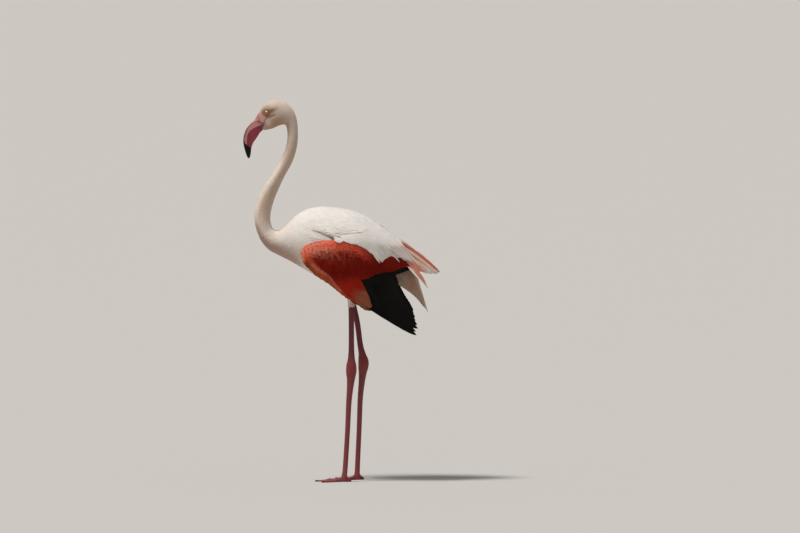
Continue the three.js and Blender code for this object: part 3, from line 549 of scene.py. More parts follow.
def body_color(p, t):
    """Plumage and bare skin over the head, neck and body; p in table mm, shape (n, 3)."""
    u, v = px(p[:, 0]), pz(p[:, 2])
    y = p[:, 1]
    n1 = wobble(p[:, 0], y, p[:, 2], 31.0)
    n2 = wobble(p[:, 0] + 40, y, p[:, 2] - 15, 9.0)
    c = np.repeat(NECKC[None], len(p), 0)
    head = 1 - smooth(7.0, 10.5, t)
    c = tint(c, np.repeat((NECKC * 1.03)[None], len(p), 0), head * smooth(0.0, 1.0, (p[:, 2] - 1075) / 40))
    # throat and under the cheek browner: mostly painted shade and warm bounce light under the head, partly a brown tint
    # of the plumage itself
    under = head * smooth(118.5, 128, v) * smooth(262, 268, u) * smooth(292, 284, u)
    c = tint(c, np.repeat(CHEEK[None], len(p), 0), head * smooth(112, 120, v) * smooth(294, 286, u) * 0.55)
    c = tint(c, np.repeat(BUFF[None], len(p), 0), under * 0.80)
    near = np.hypot(u - 266.8, v - 112.5)
    brow = head * np.exp(-((u - 261.8) / 3.6) ** 2 - ((v - 109.2) / 3.4) ** 2)
    c = tint(c, np.repeat(np.array([[0.60, 0.38, 0.26]]), len(p), 0), brow * 0.55)
    c = tint(c, np.repeat((NECKC * 1.22)[None], len(p), 0), head * smooth(112, 102, v) * smooth(262, 272, u) * 0.8)
    c = tint(c, np.repeat((BUFF * 0.85)[None], len(p), 0), head * smooth(8.5, 3.8, near) * smooth(6.0, 12.0, np.abs(y)) * 0.60)
    # a dusky streak behind the eye, painted shade along the crease under the eye, and a pale streak under that
    streak = head * np.exp(-(((u - 271.5) * 0.45 + (v - 110.0) * 0.95) / 2.0) ** 2) * smooth(280, 270, u) * smooth(264, 268, u)
    streak = np.maximum(streak, head * np.exp(-((v - 116.2 + (u - 269.5) * 0.45) / 0.9) ** 2) * smooth(277, 271, u) * smooth(265, 267.5, u))
    c = tint(c, np.repeat(np.array([[0.22, 0.095, 0.055]]), len(p), 0), streak * 0.90)
    pale = head * np.exp(-((v - 118.6 + (u - 269) * 0.52 - 0.022 * (u - 269) ** 2) / 1.3) ** 2) * smooth(264.5, 266.5, u) * smooth(281, 271, u)
    tan = head * np.exp(-((u - 279) / 7.5) ** 2 - ((v - 122.5) / 5.5) ** 2)
    c = tint(c, np.repeat(np.array([[0.43, 0.245, 0.135]]), len(p), 0), tan * 0.70)
    front = head * np.exp(-((u - 267.5) / 3.2) ** 2 - ((v - 122.0) / 3.5) ** 2)
    c = tint(c, np.repeat(np.array([[0.86, 0.63, 0.52]]), len(p), 0), front * 0.95)
    c = tint(c, np.repeat(np.array([[0.76, 0.64, 0.55]]), len(p), 0), pale * 0.7)
    # the neck is mottled a little, browner behind
    mott = smooth(8.5, 11, t) * smooth(19, 15, t)
    c = tint(c, np.repeat(np.array([[0.54, 0.385, 0.285]]), len(p), 0), mott * (0.66 + 0.26 * wobble(p[:, 0], y, p[:, 2], 24.0)))
    c = tint(c, np.repeat(BLUSH[None], len(p), 0), smooth(15.0, 18.5, t) * 0.7)
    body = smooth(17.6, 21.5, t)
    c = tint(c, np.repeat(WHITE[None], len(p), 0), body * smooth(600, 720, p[:, 2]) * 0.95)
    c = tint(c, np.repeat(BLUSH[None], len(p), 0), body * smooth(700, 620, p[:, 2]) * 0.8)
    # painted shade: the low front of the trunk, facing down away from the light, is made tan and darker
    low = body * smooth(745, 640, p[:, 2] + 0.25 * p[:, 0] + 20)
    c = tint(c, np.repeat(np.array([[0.66, 0.50, 0.41]]), len(p), 0), low * smooth(0, -70, p[:, 0]) * 0.55)
    rear = smooth(26, 28.5, t)
    c = tint(c, np.repeat(ROSE[None], len(p), 0), rear * 0.35 * smooth(690, 650, p[:, 2]))
    # painted shade: the low front of the neck and breast, facing down away from the light, is made dark tan; painted
    # light: the sunlit front edge of the neck is paler
    up = np.interp(u, [254, 257, 262, 268, 276, 284, 292, 300], [222, 229, 240, 247, 252, 257, 262, 267]) - v
    chest = smooth(14.0, 16.0, t) * smooth(23.0, 20.5, t) * smooth(15.0, 2.0, up) * smooth(301, 288, u)
    c = tint(c, np.repeat(np.array([[0.34, 0.185, 0.115]]), len(p), 0), chest * 0.80)
    # painted light along the sunlit front edge of the neck
    fore = u - np.interp(v, [146, 165, 180, 195, 210, 222], [284.0, 278.0, 269.5, 259.5, 253.5, 252.5])
    c = tint(c, np.repeat(np.array([[0.86, 0.755, 0.675]]), len(p), 0), smooth(9.5, 12.0, t) * smooth(17.0, 15.5, t) * smooth(7.0, 1.0, fore) * 0.8)
    s, k, uu = fold_place(p)
    k = k * body
    # painted light: the flank bulge over the front of the wing is made paler, as if the sun catches it
    lobe = body * np.exp(-((u - 315) / 8.5) ** 2 - ((v - 240.5) / 4.5) ** 2) * smooth(35, 60, np.abs(y))
    c = tint(c, np.repeat(np.array([[0.93, 0.84, 0.79]]), len(p), 0), lobe * 0.9)
    # painted shade in the hollow under the fold line over the wing, darker still along the crease itself
    c = tint(c, np.repeat(np.array([[0.58, 0.43, 0.375]]), len(p), 0), k * np.exp(-((s - 0.2) / 3.2) ** 2) * 0.60)
    c = tint(c, np.repeat(np.array([[0.26, 0.09, 0.085]]), len(p), 0), k * np.exp(-((s - 0.2) / 0.9) ** 2) * smooth(318, 331, uu) * 0.85)
    c = tint(c, np.repeat(np.array([[0.72, 0.40, 0.34]]), len(p), 0), body * np.exp(-((u - 335.0) / 2.4) ** 2 - ((v - 239.3) / 1.6) ** 2) * smooth(35, 60, np.abs(y)) * 0.8)
    c = c * (1 + 0.035 * n1 + 0.02 * n2)[:, None]
    c[:, 0] *= 1 + 0.012 * n2
    return c


def skin_color(p, t):
    c = body_color(p, t)
    m = face_mask(p)
    on = smooth(-0.25, 0.25, m) * (1 - smooth(3.4, 4.4, t))
    u, v = px(p[:, 0]), pz(p[:, 2])
    eye = np.hypot((u - 266.8), (v - 112.5))
    face = np.repeat(LORE[None], len(p), 0)
    brown = smooth(6.4, 3.4, eye + 0.9 * smooth(113.0, 117.0, v) * smooth(266.5, 263, u) * 3)
    face = tint(face, np.repeat(LIDSKIN[None], len(p), 0), brown)
    ring = np.exp(-((eye - 2.05) / 0.42) ** 2)
    face = tint(face, np.repeat((LIDSKIN * 1.55)[None], len(p), 0), ring * 0.8)
    mouth = smooth(121.0, 123.5, v)
    face = tint(face, np.repeat(KEEL[None], len(p), 0), mouth * 0.9)
    edge = np.exp(-(m / 0.55) ** 2) * smooth(117.0, 120.0, v)
    face = tint(face, np.repeat((BUFF * 0.30)[None], len(p), 0), edge * 0.9)
    lip = np.exp(-((v - 122.9 + (u - 260) * 0.35) / 0.5) ** 2) * smooth(265.0, 263.0, u)
    face = tint(face, np.repeat((HORN * 0.45)[None], len(p), 0), lip * 0.6)
    n = wobble(p[:, 0], p[:, 1] * 1.3, p[:, 2], 2.1)
    face = face * (1 + 0.10 * n)[:, None]
    return tint(c, face, on)


# ---------------------------------------------------------------- materials
def node_mat(name):
    m = bpy.data.materials.new(name)
    m.use_nodes = True
    nt = m.node_tree
    nt.nodes.clear()
    out = nt.nodes.new("ShaderNodeOutputMaterial")
    bsdf = nt.nodes.new("ShaderNodeBsdfPrincipled")
    nt.links.new(bsdf.outputs["BSDF"], out.inputs["Surface"])
    return m, nt, bsdf


def math_node(nt, op, a, b=None, c=None, clampit=False):
    n = nt.nodes.new("ShaderNodeMath")
    n.operation = op
    n.use_clamp = clampit
    for i, v in enumerate((a, b, c)):
        if v is None:
            continue
        if isinstance(v, (int, float)):
            n.inputs[i].default_value = v
        else:
            nt.links.new(v, n.inputs[i])
    return n.outputs[0]


def mix_color(nt, a, b, fac, mode="MIX"):
    n = nt.nodes.new("ShaderNodeMix")
    n.data_type = "RGBA"
    n.blend_type = mode
    n.clamp_factor = True
    for sock, v in ((n.inputs[0], fac), (n.inputs[6], a), (n.inputs[7], b)):
        if isinstance(v, (int, float)):
            sock.default_value = v
        elif isinstance(v, (tuple, list, np.ndarray)):
            sock.default_value = (*[float(k) for k in v[:3]], 1.0)
        else:
            nt.links.new(v, sock)
    return n.outputs[2]


def attr(nt, name):
    n = nt.nodes.new("ShaderNodeAttribute")
    n.attribute_name = name
    return n


def noise(nt, scale, detail=3.0, rough=0.55, vector=None):
    n = nt.nodes.new("ShaderNodeTexNoise")
    n.inputs["Scale"].default_value = scale
    n.inputs["Detail"].default_value = detail
    n.inputs["Roughness"].default_value = rough
    if vector is not None:
        nt.links.new(vector, n.inputs["Vector"])
    return n


def object_coords(nt):
    return nt.nodes.new("ShaderNodeTexCoord").outputs["Object"]


def feather_material(name, rough=0.78, sheen=0.25, barb=0.10, shaft=0.10, bump=0.25, speck=0.06, barbs=46.0, gloss=0.2):
    """Vane with barbs running out from a shaft, colour from the vertices."""
    m, nt, b = node_mat(name)
    col = attr(nt, "fc").outputs["Color"]
    sep = nt.nodes.new("ShaderNodeSeparateXYZ")
    nt.links.new(attr(nt, "fl").outputs["Vector"], sep.inputs[0])
    side = math_node(nt, "ABSOLUTE", sep.outputs[0])
    phase = math_node(nt, "SUBTRACT", math_node(nt, "MULTIPLY", sep.outputs[1], barbs * 2.2), math_node(nt, "MULTIPLY", side, barbs * 0.9))
    phase = math_node(nt, "ADD", phase, math_node(nt, "MULTIPLY", sep.outputs[2], 37.0))
    lines = math_node(nt, "SINE", phase)
    lines01 = math_node(nt, "MULTIPLY_ADD", lines, 0.5, 0.5)
    big = noise(nt, 900.0, 3.0, 0.6, object_coords(nt)).outputs["Fac"]
    dark = math_node(nt, "MULTIPLY_ADD", lines01, barb, 1.0 - barb * 0.5)
    dark = math_node(nt, "MULTIPLY", dark, math_node(nt, "MULTIPLY_ADD", big, speck * 2, 1.0 - speck))
    quill = math_node(nt, "SMOOTH_MIN", side, 1.0, 0.01)
    near = math_node(nt, "SUBTRACT", 1.0, math_node(nt, "MULTIPLY", quill, 11.0), clampit=True)
    dark = math_node(nt, "MULTIPLY", dark, math_node(nt, "MULTIPLY_ADD", near, -shaft, 1.0))
    tinted = nt.nodes.new("ShaderNodeVectorMath")
    tinted.operation = "SCALE"
    nt.links.new(col, tinted.inputs[0])
    nt.links.new(dark, tinted.inputs["Scale"])
    nt.links.new(tinted.outputs[0], b.inputs["Base Color"])
    b.inputs["Roughness"].default_value = rough
    b.inputs["Sheen Weight"].default_value = sheen
    b.inputs["Sheen Roughness"].default_value = 0.5
    b.inputs["Specular IOR Level"].default_value = gloss
    bm = nt.nodes.new("ShaderNodeBump")
    bm.inputs["Strength"].default_value = bump
    bm.inputs["Distance"].default_value = 0.0004
    height = math_node(nt, "ADD", lines01, math_node(nt, "MULTIPLY", big, 0.8))
    height = math_node(nt, "ADD", height, math_node(nt, "MULTIPLY", near, 1.4))
    nt.links.new(height, bm.inputs["Height"])
    nt.links.new(bm.outputs["Normal"], b.inputs["Normal"])
    return m


def skin_material():
    m, nt, b = node_mat("flamingo_skin")
    col = attr(nt, "fc").outputs["Color"]
    oc = object_coords(nt)
    n1 = noise(nt, 420.0, 4.0, 0.6, oc).outputs["Fac"]
    n2 = noise(nt, 2200.0, 2.0, 0.5, oc).outputs["Fac"]
    vor = nt.nodes.new("ShaderNodeTexVoronoi")
    vor.inputs["Scale"].default_value = 1050.0
    vor.feature = "DISTANCE_TO_EDGE"
    nt.links.new(oc, vor.inputs["Vector"])
    edge = math_node(nt, "MULTIPLY", vor.outputs["Distance"], 4.5, clampit=True)
    shade = math_node(nt, "MULTIPLY_ADD", n1, 0.28, 0.86)
    shade = math_node(nt, "MULTIPLY", shade, math_node(nt, "MULTIPLY_ADD", edge, 0.16, 0.88))
    sc = nt.nodes.new("ShaderNodeVectorMath")
    sc.operation = "SCALE"
    nt.links.new(col, sc.inputs[0])
    nt.links.new(shade, sc.inputs["Scale"])
    nt.links.new(sc.outputs[0], b.inputs["Base Color"])
    nt.links.new(math_node(nt, "MULTIPLY_ADD", n1, 0.22, 0.42), b.inputs["Roughness"])
    b.inputs["Specular IOR Level"].default_value = 0.4
    bm = nt.nodes.new("ShaderNodeBump")
    bm.inputs["Strength"].default_value = 0.32
    bm.inputs["Distance"].default_value = 0.0004
    nt.links.new(math_node(nt, "ADD", edge, math_node(nt, "MULTIPLY", n2, 0.5)), bm.inputs["Height"])
    nt.links.new(bm.outputs["Normal"], b.inputs["Normal"])
    return m


def horn_material():
    m, nt, b = node_mat("bill_horn")
    col = attr(nt, "fc").outputs["Color"]
    oc = object_coords(nt)
    stretch = nt.nodes.new("ShaderNodeMapping")
    stretch.inputs["Scale"].default_value = (1.0, 1.0, 0.35)
    nt.links.new(oc, stretch.inputs["Vector"])
    n1 = noise(nt, 300.0, 5.0, 0.6, stretch.outputs[0]).outputs["Fac"]
    n2 = noise(nt, 1500.0, 3.0, 0.6, stretch.outputs[0]).outputs["Fac"]
    shade = math_node(nt, "MULTIPLY_ADD", n1, 0.42, 0.79)
    sc = nt.nodes.new("ShaderNodeVectorMath")
    sc.operation = "SCALE"
    nt.links.new(col, sc.inputs[0])
    nt.links.new(shade, sc.inputs["Scale"])
    nt.links.new(sc.outputs[0], b.inputs["Base Color"])
    nt.links.new(math_node(nt, "MULTIPLY_ADD", n2, 0.22, 0.30), b.inputs["Roughness"])
    b.inputs["Specular IOR Level"].default_value = 0.16
    bm = nt.nodes.new("ShaderNodeBump")
    bm.inputs["Strength"].default_value = 0.25
    bm.inputs["Distance"].default_value = 0.0004
    nt.links.new(math_node(nt, "ADD", n1, math_node(nt, "MULTIPLY", n2, 0.4)), bm.inputs["Height"])
    nt.links.new(bm.outputs["Normal"], b.inputs["Normal"])
    return m


def eye_material():
    m, nt, b = node_mat("eye_gloss")
    col = attr(nt, "fc").outputs["Color"]
    n1 = noise(nt, 2600.0, 4.0, 0.6, object_coords(nt)).outputs["Fac"]
    sc = nt.nodes.new("ShaderNodeVectorMath")
    sc.operation = "SCALE"
    nt.links.new(col, sc.inputs[0])
    nt.links.new(math_node(nt, "MULTIPLY_ADD", n1, 0.5, 0.75), sc.inputs["Scale"])
    nt.links.new(sc.outputs[0], b.inputs["Base Color"])
    b.inputs["Roughness"].default_value = 0.06
    b.inputs["Coat Weight"].default_value = 0.8
    b.inputs["Coat Roughness"].default_value = 0.03
    return m


M_WHITE = feather_material("plumage_white", rough=0.80, sheen=0.30, barb=0.05, shaft=0.04, bump=0.18, speck=0.035)
M_DOWN = feather_material("plumage_short", rough=0.88, sheen=0.40, barb=0.04, shaft=0.02, bump=0.12, speck=0.05, barbs=14.0)
M_RED = feather_material("plumage_red", rough=0.75, sheen=0.0, barb=0.22, shaft=0.18, bump=0.32, speck=0.12, barbs=26.0, gloss=0.03)
M_BLACK = feather_material("flight_black", rough=0.55, sheen=0.0, barb=0.30, shaft=-0.8, bump=0.30, speck=0.10, barbs=150.0, gloss=0.05)
M_ROSE = feather_material("plumage_rose", rough=0.72, sheen=0.22, barb=0.10, shaft=0.12, bump=0.25, speck=0.06, barbs=90.0)
M_SKIN, M_HORN, M_EYE = skin_material(), horn_material(), eye_material()

# --------------------------------------------------------------------- skin
EX, EY, EZ, ER = EYE


def head_relief(p, t, a):
    """Folds of the face: lids, brow, lore, gape, cheek; mm along the normal."""
    x, y, z = p[..., 0], p[..., 1], p[..., 2]
    side = smooth(6.0, 11.0, np.abs(y))
    dx, dz = x - EX, z - EZ
    ca, sa = math.cos(0.35), math.sin(0.35)
    du, dv = dx * ca + dz * sa, -dx * sa + dz * ca
    d = np.hypot(du / 1.10, dv / 0.93)
    r = 0.85 * np.exp(-((d - 5.7) / 0.95) ** 2) - 0.35 * np.exp(-((d - 7.8) / 0.9) ** 2) + 0.30 * np.exp(-((d - 9.6) / 1.1) ** 2)
    r += -0.5 * np.exp(-(d / 11.0) ** 2)
    # brow above and in front of the eye
    r += 0.9 * np.exp(-((dz - 10.5 + 0.25 * dx) / 4.0) ** 2 - (dx / 15.0) ** 2)
    # hollow of the lore
    r += -1.1 * np.exp(-((x + 245.5) / 6.0) ** 2 - ((z - 1073.0) / 8.0) ** 2)
    # gape fold, where bill skin meets the cheek
    m = inside_by(FACE, px(x), pz(z))
    r += -0.8 * np.exp(-(m / 0.45) ** 2) * smooth(116.5, 119.5, pz(z))
    # jaw muscle
    r += 0.9 * np.exp(-((x + 218.0) / 17.0) ** 2 - ((z - 1055.0) / 9.0) ** 2)
    # fine creases round the eye
    r += 0.10 * np.sin(np.arctan2(dv, du) * 17.0 + d * 0.8) * np.exp(-((d - 8.5) / 2.6) ** 2)
    return r * side * (1 - smooth(5.2, 7.0, t))


def body_inset(t):
    return np.interp(t, [0, 0.6, 2, 6, 9, 16, 18, 20, 23, 29], [0.25, 0.8, 1.1, 1.2, 1.5, 1.8, 2.0, 2.3, 2.8, 3.0])


BODYS = Loft(BODY, inset=body_inset, relief=head_relief)


def spaced(surface_len, t0, t1, step):
    """t values so that neighbouring rings are about step mm apart; step may vary with t."""
    ts = np.linspace(t0, t1, 3000)
    speed = surface_len(ts)
    gap = step(ts) if callable(step) else np.full_like(ts, step)
    n = np.concatenate([[0], np.cumsum((speed / gap)[:-1] * np.diff(ts))])
    k = max(2, int(round(n[-1])))
    return np.interp(np.linspace(0, n[-1], k + 1), n, ts)


def centre_speed(rows):
    def f(ts):
        r0, r1 = along(rows, ts - 5e-3), along(rows, ts + 5e-3)
        c0 = np.stack([(r0[:, 0] + r0[:, 2]) / 2, (r0[:, 1] + r0[:, 3]) / 2], -1)
        c1 = np.stack([(r1[:, 0] + r1[:, 2]) / 2, (r1[:, 1] + r1[:, 3]) / 2], -1)
        return np.linalg.norm(c1 - c0, axis=1) / 1e-2 + 2.0
    return f


def body_skin():
    ts = spaced(centre_speed(BODY), 0.02, T_END, lambda t: np.interp(t, [0, 4, 6, 9, 18, 20, 29], [0.75, 0.75, 1.8, 2.8, 3.6, 4.6, 5.0]))
    aa = np.linspace(-PI, PI, 160, endpoint=False)
    tt, ag = np.meshgrid(ts, aa, indexing="ij")
    p, _ = BODYS.point(tt, ag)
    v, tris = capped(p)
    t_all = np.concatenate([tt.ravel(), [ts[0], ts[-1]]])
    return v, tris, skin_color(v, t_all)


def leg_rows(leg):
    return np.array(leg["thigh"] + leg["shank"] + leg["tarsus"], float)


def leg_inset(t):
    return np.interp(t, [0, 2, 3, 4, 4.3, 5, 8, 11, 14, 16], [4.0, 4.0, 3.0, 1.4, 0.5, 0.3, 0.3, 0.3, 0.3, 0.2])


def leg_skin(leg):
    rows = leg_rows(leg)
    limb = Limb(rows, leg["side"], leg_inset)
    n_t = len(leg["thigh"]) + len(leg["shank"]) - 1     # row of the ankle
    zt = np.linspace(0, limb.end, 3000)
    z_of = along(rows, zt)[:, 2]
    zs = np.concatenate([np.arange(640, 530, -5.0), np.arange(530, 400, -2.4), np.arange(400, 300, -1.0), np.arange(300, 9.0, -0.85)])
    ts = np.interp(-zs, -z_of, zt)
    aa = np.linspace(-PI, PI, 30, endpoint=False)
    tt, ag = np.meshgrid(ts, aa, indexing="ij")
    p, _, _, n = limb.frame(tt, ag)
    deep = zs < 15.8
    p[deep, :, 2] = zs[deep][:, None]
    z = p[..., 2]
    front = smooth(0.15, -0.55, np.cos(ag))
    back = smooth(0.2, 0.8, np.cos(ag))
    ank = rows[n_t][2]
    shin = smooth(ank - 22, ank - 40, z)
    # broad scutes down the front, smaller ones behind, rings on the bare tibia
    f = np.mod(z / 4.3 + 0.06 * np.sin(ag * 2), 1.0)
    groove = np.exp(-((f - 0.5) / 0.15) ** 2)
    r = -0.30 * groove * front * shin
    g = np.mod(z / 3.1 + 0.37, 1.0)
    r += -0.18 * np.exp(-((g - 0.5) / 0.2) ** 2) * back * shin
    tib = smooth(ank + 25, ank + 40, z) * smooth(524, 505, z)
    h = np.mod(z / 5.4, 1.0)
    r += -0.16 * np.exp(-((h - 0.5) / 0.16) ** 2) * tib
    # the heel joint: two side knobs, a flat front, and creases
    k = np.exp(-((z - ank) / 13.0) ** 2)
    r += k * (0.9 * np.abs(np.sin(ag)) ** 3 - 0.5 * np.exp(-((np.cos(ag) + 1) / 0.25) ** 2))
    r += 0.35 * k * np.sin(z * 1.25 + 2 * np.sin(ag * 3)) * (0.4 + 0.6 * front)
    r += 0.30 * np.exp(-((z - ank) / 22.0) ** 2) * wobble(z, ag * 9, z * 0.3, 4.0)
    r = r * smooth(9.5, 24.0, z)
    fx, fy, _ = leg["foot"]
    knuckle = np.interp(z, [8.9, 9.3, 10.2, 11.5, 13.0, 14.5, 16.5, 19.5, 24.0, 30.0], [7.0, 8.2, 8.7, 8.9, 8.85, 8.7, 8.4, 8.1, 7.8, 7.6])
    p = p + n * r[..., None]
    ring = np.stack([fx + (p[..., 0] - fx) * 0 , p[..., 1] * 0 + fy], -1)
    off = p[..., :2] - ring
    far = np.linalg.norm(off, axis=-1, keepdims=True)
    low = smooth(30.0, 17.0, z)[..., None]
    p = np.concatenate([ring + off / np.maximum(far, 1e-6) * (far * (1 - low) + knuckle[..., None] * low), p[..., 2:]], -1)
    v, tris = capped(p)
    tz = v[:, 2]
    c = np.repeat(SHIN[None], len(v), 0)
    c = tint(c, np.repeat(TIBIA[None], len(v), 0), smooth(ank + 18, ank + 60, tz))
    c = tint(c, np.repeat(JOINT[None], len(v), 0), np.exp(-((tz - ank) / 17.0) ** 2) * 0.85)
    c = tint(c, np.repeat((SHIN * 1.25)[None], len(v), 0), smooth(120, 20, tz) * 0.6)
    ringc = np.concatenate([(-0.30 * groove * front * shin).ravel(), [0, 0]])
    c = c * (1 + 0.9 * ringc + 0.07 * wobble(v[:, 0], v[:, 1], tz, 5.0))[:, None]
    c = tint(c, np.repeat(BLUSH[None], len(v), 0), smooth(530, 540, tz))
    return v, tris, c


def foot_outline():
    ang = []
    for t, _ in TOES:
        ang += [t + d for d in (-9, -3.4, 0, 3.4, 9)]
    ang += [-17.5, 17.5, 58, 100, 140, 166, 180, 194, 220, 260, 302]
    ang = np.array(sorted(ang))

    def reach(deg):
        a = ((deg + 540) % 360) - 180
        r = HUB
        if TOES[0][0] < a < TOES[2][0]:
            lo, hi = (TOES[0], TOES[1]) if a < 0 else (TOES[1], TOES[2])
            f = (a - lo[0]) / (hi[0] - lo[0])
            r = (lo[1] + (hi[1] - lo[1]) * f) * WEB_REACH * (1 - 0.16 * math.sin(PI * f))
        for t, ln in TOES + [HIND]:
            off = abs(((a - t + 540) % 360) - 180)
            width = 5.6 if ln > 40 else 14
            if off < 0.1:
                r = max(r, ln)
            elif off < width / 2 + 0.1:
                r = max(r, ln - CLAW * 0.62)
            elif off < width + 0.1:
                r = max(r, (ln - CLAW) * (0.9 if ln > 40 else 0.85))
        return r
    rr = np.array([reach(a) for a in ang])
    return np.radians(ang), rr


def foot_skin(leg):
    """Webbed foot: flat sole at the floor, toes with pads and scales, thin webs."""
    fx, fy, turn = leg["foot"]
    ang, rr = foot_outline()
    fine = np.unique(np.concatenate([np.radians(np.arange(-60, 60, 0.8)), np.radians(np.arange(60, 300, 4.0)), ang]))
    fine = np.sort(np.mod(fine + PI, 2 * PI) - PI)
    keep = np.concatenate([[True], np.diff(fine) > 0.002])
    fine = fine[keep]
    order = np.argsort(np.mod(ang + PI, 2 * PI) - PI)
    a2, r2 = (np.mod(ang + PI, 2 * PI) - PI)[order], rr[order]
    a3 = np.concatenate([a2[-1:] - 2 * PI, a2, a2[:1] + 2 * PI])
    r3 = np.concatenate([r2[-1:], r2, r2[:1]])
    k = np.clip(np.searchsorted(a3, fine, "right") - 1, 0, len(a3) - 2)
    A = np.stack([r3[k] * np.cos(a3[k]), r3[k] * np.sin(a3[k])], -1)
    B = np.stack([r3[k + 1] * np.cos(a3[k + 1]), r3[k + 1] * np.sin(a3[k + 1])], -1)
    d = np.stack([np.cos(fine), np.sin(fine)], -1)
    e = B - A
    den = d[:, 0] * e[:, 1] - d[:, 1] * e[:, 0]
    R = np.where(np.abs(den) > 1e-9, (A[:, 0] * e[:, 1] - A[:, 1] * e[:, 0]) / np.where(np.abs(den) > 1e-9, den, 1), r3[k])
    R = R - 0.35
    aside = np.abs(np.mod(fine + PI, 2 * PI) - PI)
    R = np.where((aside > math.radians(60)) & (aside < math.radians(160)), np.maximum(R, HUB - 0.35), R)
    rings = np.concatenate([[0.25, 0.7], np.linspace(1, 30, 30) / 30])
    nr = len(rings)
    r = np.empty((nr, len(fine)))
    r[0], r[1] = HUB * 0.35, HUB * 0.75
    for i in range(2, nr):
        r[i] = HUB * 0.9 + (R - HUB * 0.9) * rings[i]
    a = np.broadcast_to(fine, r.shape)
    h = np.full(r.shape, WEB)
    scale = np.zeros(r.shape)
    for t, ln in TOES + [HIND]:
        off = a - math.radians(t)
        off = np.mod(off + PI, 2 * PI) - PI
        front = np.cos(off) > 0
        across, down = r * np.sin(off), r * np.cos(off)
        s = clamp(down / ln, 0, 1)
        top = TOE_TOP + (4.2 - TOE_TOP) * s
        pad = 0.5 * np.cos(down / ln * 2 * PI * (3 if ln > 40 else 1)) * np.exp(-(across / 5.5) ** 2)
        ridge = WEB + (top - WEB + pad) * np.exp(-np.abs(across / TOE_HALF) ** 2.6)
        h = np.where(front, np.maximum(h, ridge), h)
        sc = np.exp(-((np.mod(down / 3.0, 1.0) - 0.5) / 0.16) ** 2) * np.exp(-(across / 3.8) ** 2)
        scale = np.where(front, np.maximum(scale, sc), scale)
    # webs crease a little between the toes
    web = 0.22 * np.sin(a * 46.0 + r * 0.05) * smooth(14, 30, r)
    h = h + np.where(h < WEB + 0.5, web, 0) - 0.35 * scale * smooth(12, 16, r)
    hubfall = (HUB_TOP - 4) * np.exp(-((r - HUB * 0.9) / 7.0))
    h = np.minimum(HUB_TOP - 0.4, h + np.where(r > HUB * 0.88, hubfall, 20))
    h[-1] = SOLE
    q = a + PI + math.radians(turn)
    top = np.stack([fx + r * np.cos(q), fy + r * np.sin(q), h], -1)
    low = top[::-1].copy()
    low[..., 2] = 0.0
    low[0, :, 2] = 0.25
    p = np.concatenate([top, low])
    v, tris = capped(p)
    c = np.repeat((SHIN * 1.25)[None], len(v), 0)
    webm = (np.concatenate([smooth(2.8, 1.9, h).ravel(), np.zeros(h.size), [0, 0]]))
    c = tint(c, np.repeat((SHIN * 1.05)[None], len(v), 0), webm)
    sc_all = np.concatenate([(scale * smooth(12, 16, r)).ravel(), np.zeros(h.size), [0, 0]])
    c = c * (1 - 0.35 * sc_all)[:, None]
    return v, tris, c


def wing_slab(side, inset, rows=None):
    """Flesh and bone of the lowered wing as one closed slab inside the coverts."""
    LONG, DEEP = 84, 34
    outer, inner = [], []
    for i in range(LONG + 1):
        t = (i / LONG) * (len(COVERTS) - 1)
        xt, zt, xb, zb = along(COVERTS, t)
        d = math.hypot(xt - xb, zt - zb)
        cut = min(inset, d * 0.3)
        gx, gz = (xt - xb) / d * cut, (zt - zb) / d * cut
        sh = inset if i == 0 else -inset if i == LONG else 0
        xt, zt, xb, zb = xt - gx + sh, zt - gz, xb + gx + sh, zb + gz
        roll = math.sin(PI * min(0.98, max(0.02, i / LONG))) ** 0.35
        s = np.linspace(0, 1, DEEP + 1)
        x, z = xt + (xb - xt) * s, zt + (zb - zt) * s
        edge = np.sin(PI * s) ** 0.5
        out = wing_out(x, z) - 3.2 * (1 - edge) - 9 * (1 - roll) - inset
        thick = 7 + (13 - 7) * edge * roll - 2 * min(inset, 2.2)
        outer.append(np.stack([x, side * out, z], -1))
        inner.append(np.stack([x, side * (out - thick), z], -1))
    outer, inner = np.array(outer), np.array(inner)
    rings = np.concatenate([outer, inner[:, ::-1]], 1)     # each i is a closed ring
    v, tris = capped(rings)
    return v, tris


BLACK_ZONE = [(360.2, 277.8), (366, 277.3), (374, 276.6), (380, 290), (380, 306), (373.2, 306), (372.2, 301), (370.3, 295.6), (366.8, 290.2), (363, 286.2), (361, 281.5)]
COVERT_POLY = np.concatenate([COVERTS[:, :2], COVERTS[::-1, 2:]])


class WingCover(WingSide):
    """The wing's face with its rounded rim, over x and z."""

    def __init__(self, side, depth=0.0, inner=False, thick=0.0):
        super().__init__(side, depth, inner)
        self.thick = thick

    def raw(self, x, z):
        d = clamp(inside_by(COVERT_POLY, x, z), 0.0, 15.0) / 15.0
        drop = 11.5 * (1 - np.sqrt(np.maximum(0.0, 1 - (1 - d) ** 2)))
        if self.inner:
            y = wing_out(x, z) - self.thick + self.depth - 0.15 * drop
        else:
            y = wing_out(x, z) - self.depth - drop
        return np.stack([x, self.side * y, z], -1)


def flow_angle(u, v, knots):
    """Angle below the horizontal, in degrees, from a few knots (u, v, angle)."""
    w = np.zeros(np.shape(u))
    s = np.zeros(np.shape(u))
    for ku, kv, ka in knots:
        k = 1.0 / (((u - ku) ** 2 + (v - kv) ** 2) + 12.0) ** 1.5
        w += k
        s += k * ka
    return s / w


FLOW = [(300, 250, 64), (305, 246, 62), (320, 245, 68), (345, 244, 64), (365, 250, 52), (385, 257, 36), (405, 261, 24), (306, 258, 56),
        (325, 260, 62), (345, 260, 64), (365, 264, 56), (385, 268, 40), (405, 270, 26), (325, 273, 44), (345, 276, 48),
        (355, 284, 44), (366, 294, 38), (340, 288, 37), (316, 267, 40), (372, 302, 34)]
LEAD = [(302, 256), (312, 267), (322, 277), (334, 290), (346, 300), (358, 307), (370, 309.5)]


